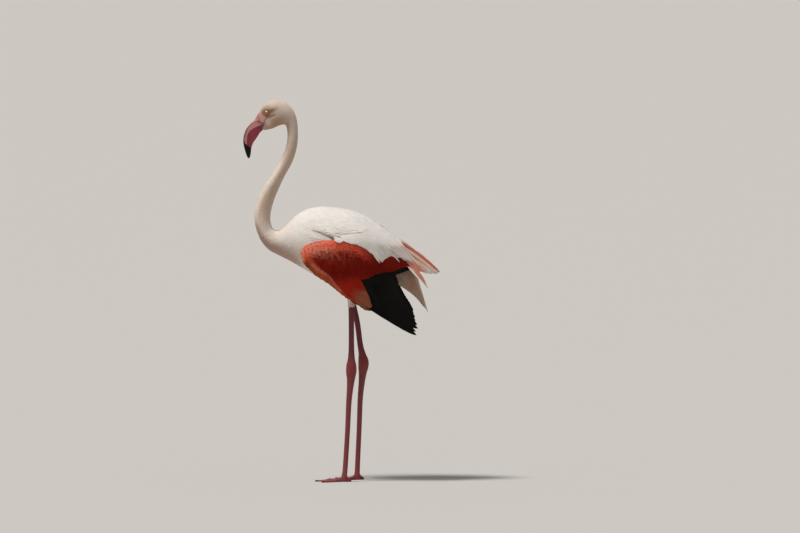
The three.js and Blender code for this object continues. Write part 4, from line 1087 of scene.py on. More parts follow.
def dist_line(line, u, v):
    d = np.full(np.shape(u), 1e9)
    for (x1, y1), (x2, y2) in zip(line[:-1], line[1:]):
        ex, ey = x2 - x1, y2 - y1
        t = clamp(((u - x1) * ex + (v - y1) * ey) / (ex * ex + ey * ey), 0, 1)
        d = np.minimum(d, np.hypot(u - x1 - t * ex, v - y1 - t * ey))
    return d


def wing_color(x, z, k=0.0):
    """Red, orange and russet over the coverts; k is a random number per feather."""
    u, v = px(x), pz(z)
    n = len(np.atleast_1d(x))
    c = np.repeat(RED[None], n, 0)
    top = np.interp(u, [300, 304, 313, 324, 350, 358, 365, 371, 385, 395, 405], [246, 244, 241, 239.5, 239.5, 243, 247, 252, 256, 253, 258])
    below = v - top
    c = tint(c, np.repeat(CRIMSON[None], n, 0), np.maximum(smooth(6, 14, below), smooth(360, 376, u) * smooth(0, 4, below)) * smooth(302, 313, u) * smooth(283, 272, v) * 0.93)
    c = tint(c, np.repeat(CORAL[None], n, 0), smooth(15, 3, below) * (0.08 + 0.87 * smooth(370, 348, u)))
    c = tint(c, np.repeat(np.array([[0.46, 0.105, 0.055]]), n, 0), smooth(403, 411, u) * 0.7)
    wrist = smooth(317, 302, u) * smooth(264, 252, v)
    c = tint(c, np.repeat((CORAL * 0.92)[None], n, 0), wrist * 0.75)
    c = tint(c, np.repeat(np.array([[0.86, 0.42, 0.24]]), n, 0), np.exp(-((u - 301.5 - 0.10 * (v - 250) ** 2 / 6) / 2.2) ** 2) * smooth(266, 256, v) * (0.25 + 0.55 * np.broadcast_to(np.asarray(k, float), (n,))))
    lead = np.abs(dist_line(LEAD, u, v))
    c = tint(c, np.repeat(ORANGE[None], n, 0), smooth(7.6, 3.8, lead) * smooth(303, 314, u) * smooth(352, 338, u) * 0.9)
    line = dist_line([(312, 263.5), (318, 268), (328, 273.5), (334, 282), (341, 289)], u, v)
    c = tint(c, np.repeat(np.array([[0.60, 0.22, 0.14]]), n, 0), np.exp(-(line / 0.9) ** 2) * 0.55)
    c = tint(c, np.repeat(RUSSET[None], n, 0), smooth(348, 362, u) * smooth(286, 293, v) * 0.9)
    c = c * (1 + 0.18 * wobble(x, z * 0.5, z, 26.0) + (0.22 + 0.22 * smooth(345, 320, u)) * (np.asarray(k) - 0.5))[:, None]
    return np.clip(c, 0, 1)


def rows_on_wing(outline, spacing_at, seed_box, jitter=0.25, angle_at=None):
    """Staggered roots over a wing area given in mm (x, z); spacing varies with place."""
    pts = []
    x0, x1, z0, z1 = seed_box
    # dart throwing on a fine jittered lattice, kept by local spacing
    step = 2.1
    gx, gz = np.meshgrid(np.arange(x0, x1, step), np.arange(z0, z1, step))
    gx = (gx + (rng.random(gx.shape) - 0.5) * step * 0.9).ravel()
    gz = (gz + (rng.random(gz.shape) - 0.5) * step * 0.9).ravel()
    ok = outline(gx, gz)
    gx, gz = gx[ok], gz[ok]
    s = spacing_at(gx, gz)
    order = rng.permutation(len(gx))
    cell = {}
    size = 4.0
    for i in order:
        cx, cz, si = gx[i], gz[i], s[i]
        r = int(si // size) + 1
        ix, iz = int(cx // size), int(cz // size)
        good = True
        for a in range(ix - r, ix + r + 1):
            for b in range(iz - r, iz + r + 1):
                for j in cell.get((a, b), ()):
                    if (gx[j] - cx) ** 2 + (gz[j] - cz) ** 2 < si * si:
                        good = False
                        break
                if not good:
                    break
            if not good:
                break
        if good:
            cell.setdefault((ix, iz), []).append(i)
            pts.append(i)
    pts = np.array(sorted(pts))
    return gx[pts], gz[pts]


# --------------------------------------------------------- building the skin
def join_solids(parts, name):
    """Boolean union of closed meshes into one skin."""
    base = parts[0]
    for other in parts[1:]:
        mod = base.modifiers.new("join", "BOOLEAN")
        mod.operation = "UNION"
        mod.solver = "MANIFOLD" if bpy.app.version >= (4, 5, 0) else "EXACT"
        mod.object = other
        dg = bpy.context.evaluated_depsgraph_get()
        me = bpy.data.meshes.new_from_object(base.evaluated_get(dg), preserve_all_data_layers=True, depsgraph=dg)
        base.modifiers.clear()
        if len(me.polygons) < 0.5 * len(base.data.polygons):
            print("join left out", other.name)
            continue
        old = base.data
        base.data = me
        bpy.data.meshes.remove(old)
        od = other.data
        bpy.data.objects.remove(other)
        bpy.data.meshes.remove(od)
    base.name = name
    base.data.name = name
    return base


def core(rows, level, inset, t0, t1, step, around):
    surf = Loft(rows, inset=inset, level=level)
    ts = spaced(centre_speed(rows), t0, t1, step)
    tt, ag = np.meshgrid(ts, np.linspace(-PI, PI, around, endpoint=False), indexing="ij")
    p, _ = surf.point(tt, ag)
    return capped(p)


skin_parts = []
v, tris, c = body_skin()
skin_parts.append(build("skin_body", v, tris, c))
for side, tag in ((LEFT, "l"), (RIGHT, "r")):
    v, tris = wing_slab(side, 3.0)
    c = wing_color(v[:, 0], v[:, 2], 0.5) * 0.8
    c = tint(c, np.repeat(BLACK[None], len(v), 0), smooth(-0.9, 0.0, inside_by(BLACK_ZONE, px(v[:, 0]), pz(v[:, 2]))))
    skin_parts.append(build("skin_wing_" + tag, v, tris, c))
v, tris = core(MANTLE, -0.97, lambda t: np.interp(t, [0, 2.2], [17.0, 4.0]), 0.02, 7.2, 4.0, 90)
skin_parts.append(build("skin_mantle", v, tris, np.repeat(WHITE[None], len(v), 0)))
v, tris = core(TAIL, 0.0, 5.5, 0.02, 3.0, 4.0, 64)
skin_parts.append(build("skin_tail", v, tris, np.repeat((ROSE * 0.8)[None], len(v), 0)))
for name, leg in LEGS.items():
    v, tris, c = leg_skin(leg)
    skin_parts.append(build("skin_leg_" + name[0], v, tris, c))
    v, tris, c = foot_skin(leg)
    skin_parts.append(build("skin_foot_" + name[0], v, tris, c))
skin = join_solids(skin_parts, "flamingo_skin")
skin.data.polygons.foreach_set("use_smooth", np.ones(len(skin.data.polygons), bool))
# points made where two shapes meet take the colour of their nearest neighbour
held = skin.data.attributes["fc"].data
hue, place = np.empty(len(held) * 4, np.float32), np.empty(len(held) * 3, np.float32)
held.foreach_get("color", hue)
skin.data.vertices.foreach_get("co", place)
hue, place = hue.reshape(-1, 4), place.reshape(-1, 3)
lost = (hue[:, :3].min(axis=1) > 0.995) | (hue[:, :3].max(axis=1) <= 0.0)
kept = np.where(~lost)[0]
near_by = KDTree(len(kept))
for i in kept:
    near_by.insert(place[i], int(i))
near_by.balance()
for i in np.where(lost)[0]:
    hue[i] = hue[near_by.find(place[i])[1]]
held.foreach_set("color", hue.ravel())
print("skin points recoloured", int(lost.sum()))
skin.data.materials.clear()
skin.data.materials.append(M_SKIN)
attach(skin, "root")
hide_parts("head", "neck_upper", "neck_middle", "neck_lower", "trunk", "thigh_left", "thigh_right",
            "shank_left", "shank_right", "tarsus_left", "tarsus_right", "foot_left", "foot_right")
print("skin", len(skin.data.polygons), "faces")


def rise_table():
    """How far the plumage of the body is lifted so that it runs on to the mantle with no step."""
    ts, aa = np.arange(17.5, 28.61, 0.1), np.linspace(-PI, PI, 121)
    T, A = np.meshgrid(ts, aa, indexing="ij")
    P, _, _, N = Loft(BODY, inset=body_inset).frame(T, A)
    g = np.meshgrid(np.linspace(0.0, 9.9, 130), np.linspace(-PI, PI, 130, endpoint=False), indexing="ij")
    v, tris = capped(Loft(MANTLE, inset=2.2, level=-0.97).point(*g)[0])
    tris = outward(v, tris)
    tree = BVHTree.FromPolygons([tuple(k) for k in v.tolist()], [tuple(k) for k in np.asarray(tris).tolist()])
    D = np.zeros(T.shape)
    for i in range(T.shape[0]):
        for j in range(T.shape[1]):
            if P[i, j, 2] > 690:
                n = Vector(N[i, j])
                hit, out, _, far = tree.ray_cast(Vector(P[i, j]), n, 60.0)
                if hit is not None and out.dot(n) > 0:
                    D[i, j] = far
    wide = D.copy()
    for k in range(1, 4):
        wide[k:] = np.maximum(wide[k:], D[:-k])
        wide[:-k] = np.maximum(wide[:-k], D[k:])
    for axis, sigma in ((0, 5.0), (1, 1.6)):
        h = int(3 * sigma)
        w = np.exp(-0.5 * (np.arange(-h, h + 1) / sigma) ** 2)
        w /= w.sum()
        pad = [(0, 0), (0, 0)]
        pad[axis] = (h, h)
        big = np.pad(wide, pad, mode="edge" if axis == 0 else "wrap")
        wide = sum(w[k] * (big[k:k + wide.shape[0]] if axis == 0 else big[:, k:k + wide.shape[1]]) for k in range(2 * h + 1))
    return ts, np.where(D > 0, np.minimum(wide, D + 0.4), np.minimum(wide, 20.0))


RISE_T, RISE = rise_table()


def trunk_relief(p, t, a):
    fi = clamp((np.asarray(t) - RISE_T[0]) / 0.1, 0, len(RISE_T) - 1.001)
    fj = clamp((np.mod(np.asarray(a) + PI, 2 * PI)) / (2 * PI) * 120, 0, 119.999)
    i, j = fi.astype(int), fj.astype(int)
    fi, fj = fi - i, fj - j
    d = (RISE[i, j] * (1 - fi) + RISE[i + 1, j] * fi) * (1 - fj) + (RISE[i, j + 1] * (1 - fi) + RISE[i + 1, j + 1] * fi) * fj
    s, k, u = fold_place(p)
    f = -3.4 * np.exp(-(s / 1.2) ** 2) * (0.35 + 0.65 * smooth(308, 330, u))
    f = f + 2.4 * np.exp(-((s - 4.6) / 3.4) ** 2) + 2.0 * np.exp(-((s + 3.4) / 2.8) ** 2) * smooth(308, 322, u)
    return d * smooth(17.6, 18.6, t) + f * k


BODYC = Loft(BODY, inset=body_inset, relief=trunk_relief)


def finish_coat(coat, mat, nodes=()):
    ob = coat.make()
    ob.data.materials.append(mat)
    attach(ob, "root")
    if nodes:
        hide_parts(*nodes)
    return ob


def uv_loft(t, a, t0, t1):
    return np.stack([0.01 + 0.98 * (np.asarray(a) + PI) / (2 * PI), 0.01 + 0.98 * (np.asarray(t) - t0) / (t1 - t0)], -1)


# ------------------------------------------------------- head and neck down
def body_tufts(name, t0, t1, gap, length, width, profile, lift, mat, keep=None, turn=None, nodes=(), seed_color=0.05,
               thick=0.14, ridge=0.25, camber=0.12, fray=0.3, surf=BODYS):
    t, a = scatter(surf, t0, t1, gap)
    p, _ = surf.point(t, a)
    ok = np.ones(len(t), bool) if keep is None else keep(p, t, a)
    t, a, p = t[ok], a[ok], p[ok]
    k = rng.random(len(t))
    L = length(t, p) * (0.85 + 0.3 * k)
    W = width(t, p) * (0.9 + 0.2 * rng.random(len(t)))
    tr = (rng.random(len(t)) - 0.5) * 0.24
    if turn is not None:
        tr = tr + turn(p, t, a)
    dt, da = steps(surf, t, a, tr)
    c = body_color(p, t)
    c = c * (1 + seed_color * (rng.random(len(t)) - 0.5) * 2)[:, None]
    coat = Coat(name)
    l0, l1, l2 = lift
    vanes(coat, surf, t, a, dt, da, L, W, profile, (l0, l1, l2 + 0.25 * (k - 0.5)), uv_loft(t, a, t0, t1), c * 0.93, c * 1.04,
          thick=thick, ridge=ridge, camber=camber, fray=fray, walk=(tr, 0.3, T_END - 0.02))
    return finish_coat(coat, mat, nodes)


def keep_head(p, t, a):
    m = face_mask(p)
    bare = (m > 0.10 + 0.35 * (rng.random(len(t)) - 0.4)) & (t < 4.4) & (np.abs(p[:, 1]) > 2.0)
    base = t < np.where(np.cos(a) > 0.2, 0.38, 0.62)
    eye = np.hypot(p[:, 0] - EX, p[:, 2] - EZ) < 8.0
    return ~(bare | base | (eye & (np.abs(p[:, 1]) > 8)))


def head_turn(p, t, a):
    """Feathers part round the eye and sweep back under it."""
    dx, dz = p[:, 0] - EX, p[:, 2] - EZ
    d = np.hypot(dx, dz)
    return -0.55 * np.sign(a) * np.sign(dz) * np.exp(-((d - 11) / 8.0) ** 2) * smooth(-14, -2, -dx) * 0.6


body_tufts("coat_head", 0.36, 9.3, lambda t: float(np.interp(t, [0.4, 3, 6, 9.3], [1.35, 1.5, 1.75, 2.0])),
           lambda t, p: np.interp(t, [0.4, 3, 6, 9.3], [2.8, 4.2, 5.6, 7.0]),
           lambda t, p: np.interp(t, [0.4, 3, 6, 9.3], [1.2, 1.6, 2.0, 2.3]),
           "tuft", (0.05, 0.45, 0.6), M_DOWN, keep=keep_head, turn=head_turn, thick=0.10, ridge=0.10, camber=0.05)
body_tufts("coat_neck_upper", 9.2, 13.6, 2.1, lambda t, p: 8.0 + 0 * t, lambda t, p: 2.5 + 0 * t,
           "tuft", (0.1, 0.75, 1.0), M_DOWN, thick=0.12, ridge=0.12, camber=0.08)
body_tufts("coat_neck_lower", 13.5, 18.4, lambda t: float(np.interp(t, [13.5, 18.4], [2.3, 3.4])),
           lambda t, p: np.interp(t, [13.5, 18.4], [9, 14.0]), lambda t, p: np.interp(t, [13.5, 18.4], [2.8, 5.0]),
           "tuft", (0.1, 0.9, 1.3), M_DOWN, thick=0.14, ridge=0.14, camber=0.1)


def keep_trunk(p, t, a):
    """Leaves out what the wings and the mantle hide."""
    x, y, z = p[:, 0], p[:, 1], p[:, 2]
    wing = inside_by(COVERT_POLY, x, z)
    hid = (wing > 22) & (np.abs(y) > 50)
    under = (x > rng.uniform(-5, 55, len(x))) & (z > np.interp(x, [-56, 44, 130, 192], [745, 735, 712, 668])) & (z < np.interp(x, [-56, 44, 130, 192], [800, 782, 730, 680]) - 6)
    thin = (z > 668) & (t > rng.uniform(23.2, 28.4, len(x)))
    return ~(hid | under | thin)


for tag, lo, hi in (("breast", 17.6, 20.6), ("belly", 20.4, 28.7)):
    body_tufts("coat_" + tag, lo, hi, lambda t: float(np.interp(t, [17.6, 19, 21, 23, 28.7], [3.0, 3.7, 4.6, 5.4, 5.6])),
               lambda t, p: np.interp(t, [17.6, 19, 21, 28.7], [13, 17, 26, 30.0]),
               lambda t, p: np.interp(t, [17.6, 19, 21, 28.7], [4.6, 6.2, 9.0, 10.5]),
               "soft", (0.2, 1.5, 2.0), M_WHITE, keep=keep_trunk, thick=0.14, ridge=0.14, camber=0.12, surf=BODYC)

# ---------------------------------------------------------------- the thighs
for name, leg in LEGS.items():
    rows = leg_rows(leg)
    limb = Limb(rows, leg["side"], leg_inset)
    coat = Coat("coat_thigh_" + name)
    t, a = scatter(limb, 0.15, 4.05, lambda t: float(np.interp(t, [0, 2, 4.2], [5.0, 3.0, 1.9])))
    p, _ = limb.point(t, a)
    L = np.interp(t, [0, 2, 4.25], [20, 12, 6.0]) * (0.85 + 0.3 * rng.random(len(t)))
    W = np.interp(t, [0, 2, 4.25], [7, 4.4, 2.3])
    tr = (rng.random(len(t)) - 0.5) * 0.25
    dt, da = steps(limb, t, a, tr)
    c = np.repeat(BLUSH[None], len(t), 0) * (0.93 + 0.12 * rng.random(len(t)))[:, None]
    c = tint(c, np.repeat(ROSE[None], len(t), 0), smooth(2.4, 4.2, t) * 0.7)
    vanes(coat, limb, t, a, dt, da, L, W, "round", (0.2, 1.3, 1.6), uv_loft(t, a, 0, 4.3), c * 0.97, c, thick=0.14, ridge=0.16, camber=0.10, fray=0.3, walk=(tr, 0.0, 5.0))
    finish_coat(coat, M_WHITE)

# ----------------------------------------------------------------- the wings
def wing_uv(x, z, inner=False):
    u = (x + 150) / 370.0
    w = (z - 420) / 320.0
    return np.stack([0.01 + 0.48 * u + (0.5 if inner else 0.0), 0.01 + 0.98 * w], -1)


def cover_length(x, z):
    u, v = px(x), pz(z)
    top = v - np.interp(u, [300, 304, 313, 324, 350, 358, 365, 371, 385, 395, 405], [246, 244, 240, 237.5, 237.5, 240, 243, 246, 249, 250, 256])
    lead = dist_line(LEAD, u, v)
    d = np.minimum(np.maximum(top, 0), np.maximum(lead, 0) * 1.1)
    L = 8.5 + 27.0 * smooth(0.5, 24.0, d)
    hand = smooth(346, 362, u) * smooth(282, 292, v)
    return L * (1 - hand) + 36.0 * hand


def white_zone(x, z):
    """Above the red border the loose white feathers of the back hang over the wing."""
    u, v = px(x), pz(z)
    line = np.interp(u, [300, 304.4, 313.6, 324, 350, 358, 365, 370, 376, 380, 385, 393, 402, 408, 412],
                     [240, 243.8, 241.2, 239.4, 239.4, 242.6, 246.5, 250, 257, 262, 256, 251.5, 254, 259.5, 266])
    return line - v


black_rows = []
for side, tag in ((LEFT, "left"), (RIGHT, "right")):
    surf = WingCover(side, depth=3.6)
    coat = Coat("coat_wing_" + tag)
    zone = lambda x, z: (inside_by(COVERT_POLY, x, z) > 0.6) & (white_zone(x, z) < 3.5)
    x, z = rows_on_wing(zone, lambda x, z: 0.185 * cover_length(x, z) + 0.55, (-136, 192, 508, 720))
    th = np.radians(flow_angle(px(x), pz(z), FLOW) + (rng.random(len(x)) - 0.5) * 9)
    L = cover_length(x, z) * (0.9 + 0.25 * rng.random(len(x)))
    # tips stay on the wing
    for _ in range(3):
        tip = inside_by(COVERT_POLY, x + np.cos(th) * L, z - np.sin(th) * L)
        L = np.where(tip < -4.0, L + (tip + 4.0) * 0.8, L)
    for _ in range(5):
        past = inside_by(BLACK_ZONE, px(x + np.cos(th) * L), pz(z - np.sin(th) * L)) * 2.95
        L = np.where(past > 0.8, L - (past - 0.8) * 1.2 - 0.5, L)
    ok = (inside_by(BLACK_ZONE, px(x), pz(z)) < 0.3) & (L > 3.0)
    x, z, th, L = x[ok], z[ok], th[ok], L[ok]
    L = np.maximum(L, 5.5)
    W = np.clip(L * 0.43, 3.2, 12.5)
    k = rng.random(len(x))
    xt, zt = x + np.cos(th) * L * 0.95, z - np.sin(th) * L * 0.95
    c0 = wing_color(x + np.cos(th) * L * 0.45, z - np.sin(th) * L * 0.45, k)
    c1 = wing_color(xt, zt, k)
    # pale tips near the wrist, darker bases everywhere
    pale = smooth(340, 312, px(x)) * smooth(253, 244, pz(z)) * 0.55 * (0.3 + rng.random(len(x))) + 0.22 * smooth(258, 244, pz(z)) * rng.random(len(x)) ** 2
    c1 = tint(c1, np.repeat(np.array([[0.88, 0.34, 0.23]]), len(x), 0), pale)
    # painted highlights: a few covert tips near the top of the wing are made pale coral where the sun glints
    glint_spots = np.exp(-((px(xt) - 327.5) / 4.0) ** 2 - ((pz(zt) - 250.0) / 3.5) ** 2) + 0.5 * np.exp(-((px(xt) - 313.0) / 4.5) ** 2 - ((pz(zt) - 251.0) / 3.5) ** 2)
    c1 = tint(c1, np.repeat(np.array([[0.92, 0.47, 0.35]]), len(x), 0), np.clip(glint_spots, 0, 1) * (rng.random(len(x)) > 0.55) * 0.42)
    rise = np.clip(L * 0.035, 0.5, 1.3)
    topline = pz(z) - np.interp(px(x), [300, 304, 313, 324, 350, 358, 365, 371, 385, 395, 405], [246, 244, 241, 239.5, 239.5, 243, 247, 252, 256, 253, 258])
    clear = np.maximum(smooth(15, 4, topline) * smooth(372, 350, px(x)), smooth(326, 306, px(x)))
    vanes(coat, surf, x, z, np.cos(th), -np.sin(th), L, W, "soft", (0.1, 0.8 * rise + 0.4, 1.3 * rise + 0.5), wing_uv(x, z), c0 * (0.80 - 0.35 * clear)[:, None], c1 * (1.05 + 0.25 * clear)[:, None],
          thick=0.14, ridge=0.20, camber=0.14, sway=(rng.random(len(x)) - 0.5) * 0.3, fray=0.16)
    # greater coverts: one long even row whose tips make the border with the black
    edge = np.array([(352, 274), (361, 277.2), (373, 276.6), (385, 275.2), (392, 273.6), (402, 270.6), (408.6, 268.4)])
    f = np.linspace(0, len(edge) - 1, 34)
    tu, tv = np.interp(f, range(len(edge)), edge[:, 0]), np.interp(f, range(len(edge)), edge[:, 1])
    tx, tz = (tu - 345) * 2.95, (480.8 - tv) * 2.95
    ang = np.radians(np.interp(f, [0, 6], [50, 26]))
    L = np.interp(f, [0, 3, 6], [44, 46, 40])
    x, z = tx - np.cos(ang) * L, tz + np.sin(ang) * L
    k = rng.random(len(x))
    deep = WingCover(side, depth=4.2)
    vanes(coat, deep, x, z, np.cos(ang), -np.sin(ang), L, 14.0, "soft", (0.0, 0.8, 0.9), wing_uv(x, z), wing_color(x, z, k) * 0.7,
          wing_color(tx, tz, k) * 0.95, thick=0.25, ridge=0.4, camber=0.3, sway=0.1, fray=0.05)
    # primary coverts: rounded russet tips over the bases of the primaries
    edge = np.array([(360.8, 278.5), (363, 286), (367, 289.8), (370.3, 295.4), (371.8, 300.6), (372.8, 305.4), (371, 308.6)])
    f = np.linspace(1.8, len(edge) - 1, 8)
    tu, tv = np.interp(f, range(len(edge)), edge[:, 0]), np.interp(f, range(len(edge)), edge[:, 1])
    tx, tz = (tu - 345) * 2.95, (480.8 - tv) * 2.95
    ang = np.radians(np.interp(f, [0, 6], [42, 33]))
    L = np.full(len(f), 52.0)
    x, z = tx - np.cos(ang) * L, tz + np.sin(ang) * L
    k = rng.random(len(x))
    vanes(coat, WingCover(side, depth=3.4), x, z, np.cos(ang), -np.sin(ang), L, 14.5, "soft", (0.0, 0.9, 1.1), wing_uv(x, z),
          np.repeat(RUSSET[None], len(x), 0) * 0.34, np.repeat(RUSSET[None], len(x), 0) * 1.35, thick=0.3, ridge=0.5, camber=0.55, sway=-0.1, fray=0.05)
    # bases of the black feathers, where the coverts end short of the lower rim
    rim = np.array([(359.0, 275.5), (360.6, 278.5), (361.4, 281.5), (363, 286), (367, 290), (370.2, 295.4), (371.8, 300.6)])
    f = np.linspace(0, len(rim) - 1, 14)
    bx, bz = (np.interp(f, range(len(rim)), rim[:, 0]) - 345) * 2.95, (480.8 - np.interp(f, range(len(rim)), rim[:, 1])) * 2.95
    an = np.radians(np.interp(f, [0, 6], [37, 31]))
    black_rows.append((side, bx - np.cos(an) * 9, bz + np.sin(an) * 9, an))
    # under side of the wing, plainer and larger
    under = WingCover(side, depth=1.6, inner=True, thick=12.0)
    zone = lambda x, z: inside_by(COVERT_POLY, x, z) > 0.6
    x, z = rows_on_wing(zone, lambda x, z: 0.36 * cover_length(x, z) + 1.2, (-136, 192, 508, 720))
    th = np.radians(flow_angle(px(x), pz(z), FLOW) + (rng.random(len(x)) - 0.5) * 9)
    L = cover_length(x, z) * 1.15
    for _ in range(3):
        tip = inside_by(COVERT_POLY, x + np.cos(th) * L, z - np.sin(th) * L)
        L = np.where(tip < -4.0, L + (tip + 4.0) * 0.8, L)
    L = np.maximum(L, 6.0)
    k = rng.random(len(x))
    cu = wing_color(x, z, k)
    vanes(coat, under, x, z, np.cos(th), -np.sin(th), L, np.clip(L * 0.5, 4, 18), "round", (0.1, 1.2, 1.9), wing_uv(x, z, True), cu * 0.7,
          cu * 1.05, thick=0.16, ridge=0.3, camber=0.2, fray=0.1)
    finish_coat(coat, M_RED, ("wing_coverts_" + tag,))

    # flight feathers: ten primaries and a line of secondaries
    coat = Coat("flight_" + tag)
    f = np.linspace(0, 9, 19)
    rx, rz, tx, tz = (np.interp(f, range(10), QUILLS[:, k]) for k in range(4))
    tz = tz - 3.0 * smooth(2.0, 6.0, f)
    tx = tx - 2.0 * smooth(4.0, 8.0, f)
    rz = rz + 13.0 * smooth(2.2, 0.0, f)
    tz = tz + 1.0 * smooth(1.0, 0.0, f)
    odd = np.arange(len(f)) == 1
    tx, tz = tx - 8.0 * odd, tz + 5.0 * odd
    tx = tx - np.array([0, 0, 0, 2.5, 0, 1.5] + [0] * 13)
    ang = np.arctan2(rz - tz, tx - rx)
    L = np.hypot(tx - rx, tz - rz) + 2.0
    for j in range(len(f)):
        one = WingSide(side, 6.9 - 0.17 * j)
        vanes(coat, one, rx[j:j + 1], rz[j:j + 1], np.cos(ang[j:j + 1]), -np.sin(ang[j:j + 1]), L[j:j + 1], np.interp(f[j], [0, 2, 4, 9], [18, 25, 29, 32]),
              "primary" if f[j] > 1.2 else "quill", (0.0, 0.0, -0.5), wing_uv(rx[j:j + 1], rz[j:j + 1]), BLACK[None] * 1.0, BLACK[None] * 1.6, thick=0.5, ridge=0.6,
              camber=0.45, sway=-0.10, fray=0.02)
    # secondaries: only a thin dark line of their tips shows under the coverts
    rim = np.array([(381, 277.4), (388, 276.2), (393, 274.6), (398, 272.8), (402, 271.5), (406, 269.9), (408.8, 268.9)])
    f = np.linspace(0, len(rim) - 1, 22)
    tx2, tz2 = (np.interp(f, range(len(rim)), rim[:, 0]) - 345) * 2.95, (480.8 - np.interp(f, range(len(rim)), rim[:, 1])) * 2.95
    an = np.radians(np.interp(f, [0, 6], [36, 27]))
    x2, z2 = tx2 - np.cos(an) * 52, tz2 + np.sin(an) * 52
    vanes(coat, WingSide(side, 5.0), x2, z2, np.cos(an), -np.sin(an), 52.0, 14.0, "round", (0.0, 0.2, 0.0), wing_uv(x2, z2),
          np.repeat(BLACK[None], len(f), 0), np.repeat(BLACK[None], len(f), 0) * 1.6, thick=0.5, ridge=0.5, camber=0.3)
    for s2, x2, z2, an in black_rows:
        if s2 == side:
            vanes(coat, WingSide(side, 1.5), x2, z2, np.cos(an), -np.sin(an), 50.0, 17.0, "round", (-3.6, 0.2, 0.0), wing_uv(x2, z2),
                  np.repeat(BLACK[None], len(an), 0), np.repeat(BLACK[None], len(an), 0) * 1.4, thick=0.4, ridge=0.3, camber=0.3)
    # and a few short ones that close the notch between those and the first primary
    nu = np.array([363.5, 366.0, 368.5, 371.0, 373.5, 376.0])
    x2, z2, an = (nu - 345) * 2.95, np.full(len(nu), (480.8 - 272.6) * 2.95), np.full(len(nu), math.radians(62))
    vanes(coat, WingSide(side, 1.9), x2, z2, np.cos(an), -np.sin(an), 34.0, 13.0, "round", (-4.0, 0.1, 0.0), wing_uv(x2, z2),
          np.repeat(BLACK[None], len(an), 0), np.repeat(BLACK[None], len(an), 0) * 1.4, thick=0.4, ridge=0.3, camber=0.3)
    finish_coat(coat, M_BLACK, ("wing_flight_" + tag,))

# --------------------------------------------------- mantle and the long ones
MANT = Loft(MANTLE, inset=lambda t: np.interp(t, [0, 0.5, 1.5, 2.2, 8, 10], [12.0, 6.0, 2.9, 2.3, 2.0, 1.0]), level=-0.97)
for tag, lo, hi in (("front", 0.0, 3.4), ("rear", 3.3, 9.3)):
    coat = Coat("coat_mantle_" + tag)
    t, a = scatter(MANT, lo, hi, lambda t: float(np.interp(t, [0, 3, 9.2], [4.9, 5.4, 6.4])), a0=-1.60, a1=1.60)
    p, _ = MANT.point(t, a)
    L = np.interp(t, [0, 2, 5, 9.2], [32, 40, 52, 44]) * (0.85 + 0.3 * rng.random(len(t)))
    W = L * 0.30
    turn = 0.20 * np.sin(a) * smooth(0, 2, t) + (rng.random(len(t)) - 0.5) * 0.14
    dt, da = steps(MANT, t, a, turn)
    c = np.repeat(WHITE[None], len(t), 0) * (0.98 + 0.04 * rng.random(len(t)))[:, None]
    rosy = smooth(6.0, 9.0, t) * (0.15 + 0.4 * (rng.random(len(t)) > 0.6))
    c = tint(c, np.repeat(ROSE[None], len(t), 0), rosy)
    vanes(coat, MANT, t, a, dt, da, L, W, "lance", (0.15, 1.0, 1.3 + 0.4 * rng.random(len(t))), uv_loft(t, a, 0, 10), c * 0.90, c * 1.02, thick=0.15,
          ridge=0.16, camber=0.14, sway=(rng.random(len(t)) - 0.5) * 0.2, fray=0.10, walk=(turn, 0.0, 9.97))
    if tag == "front":
        finish_coat(coat, M_WHITE)
finish_coat(coat, M_WHITE, ("mantle",))

class Shoulder(WingSide):
    """From the side of the mantle down on to the face of the wing."""

    def raw(self, x, z):
        mid = (MANTLE[:, 0] + MANTLE[:, 2]) / 2
        t = np.interp(x, mid, np.arange(len(MANTLE)))
        r = along(MANTLE, t)
        cz, hz, w = (r[..., 1] + r[..., 3]) / 2, (r[..., 1] - r[..., 3]) / 2, r[..., 4]
        c = clamp(((z - cz) / hz + 0.97) / 1.97, 0.0, 0.999)
        roof = w * np.sqrt(1 - c * c) - 2.2 - 14.0 * smooth(45.0, -60.0, x)
        k = smooth(-8.0, 34.0, z - r[..., 3])
        y = (wing_out(x, z) - self.depth) * (1 - k) + np.minimum(roof, wing_out(x, z)) * k
        return np.stack([x, self.side * y, z], -1)


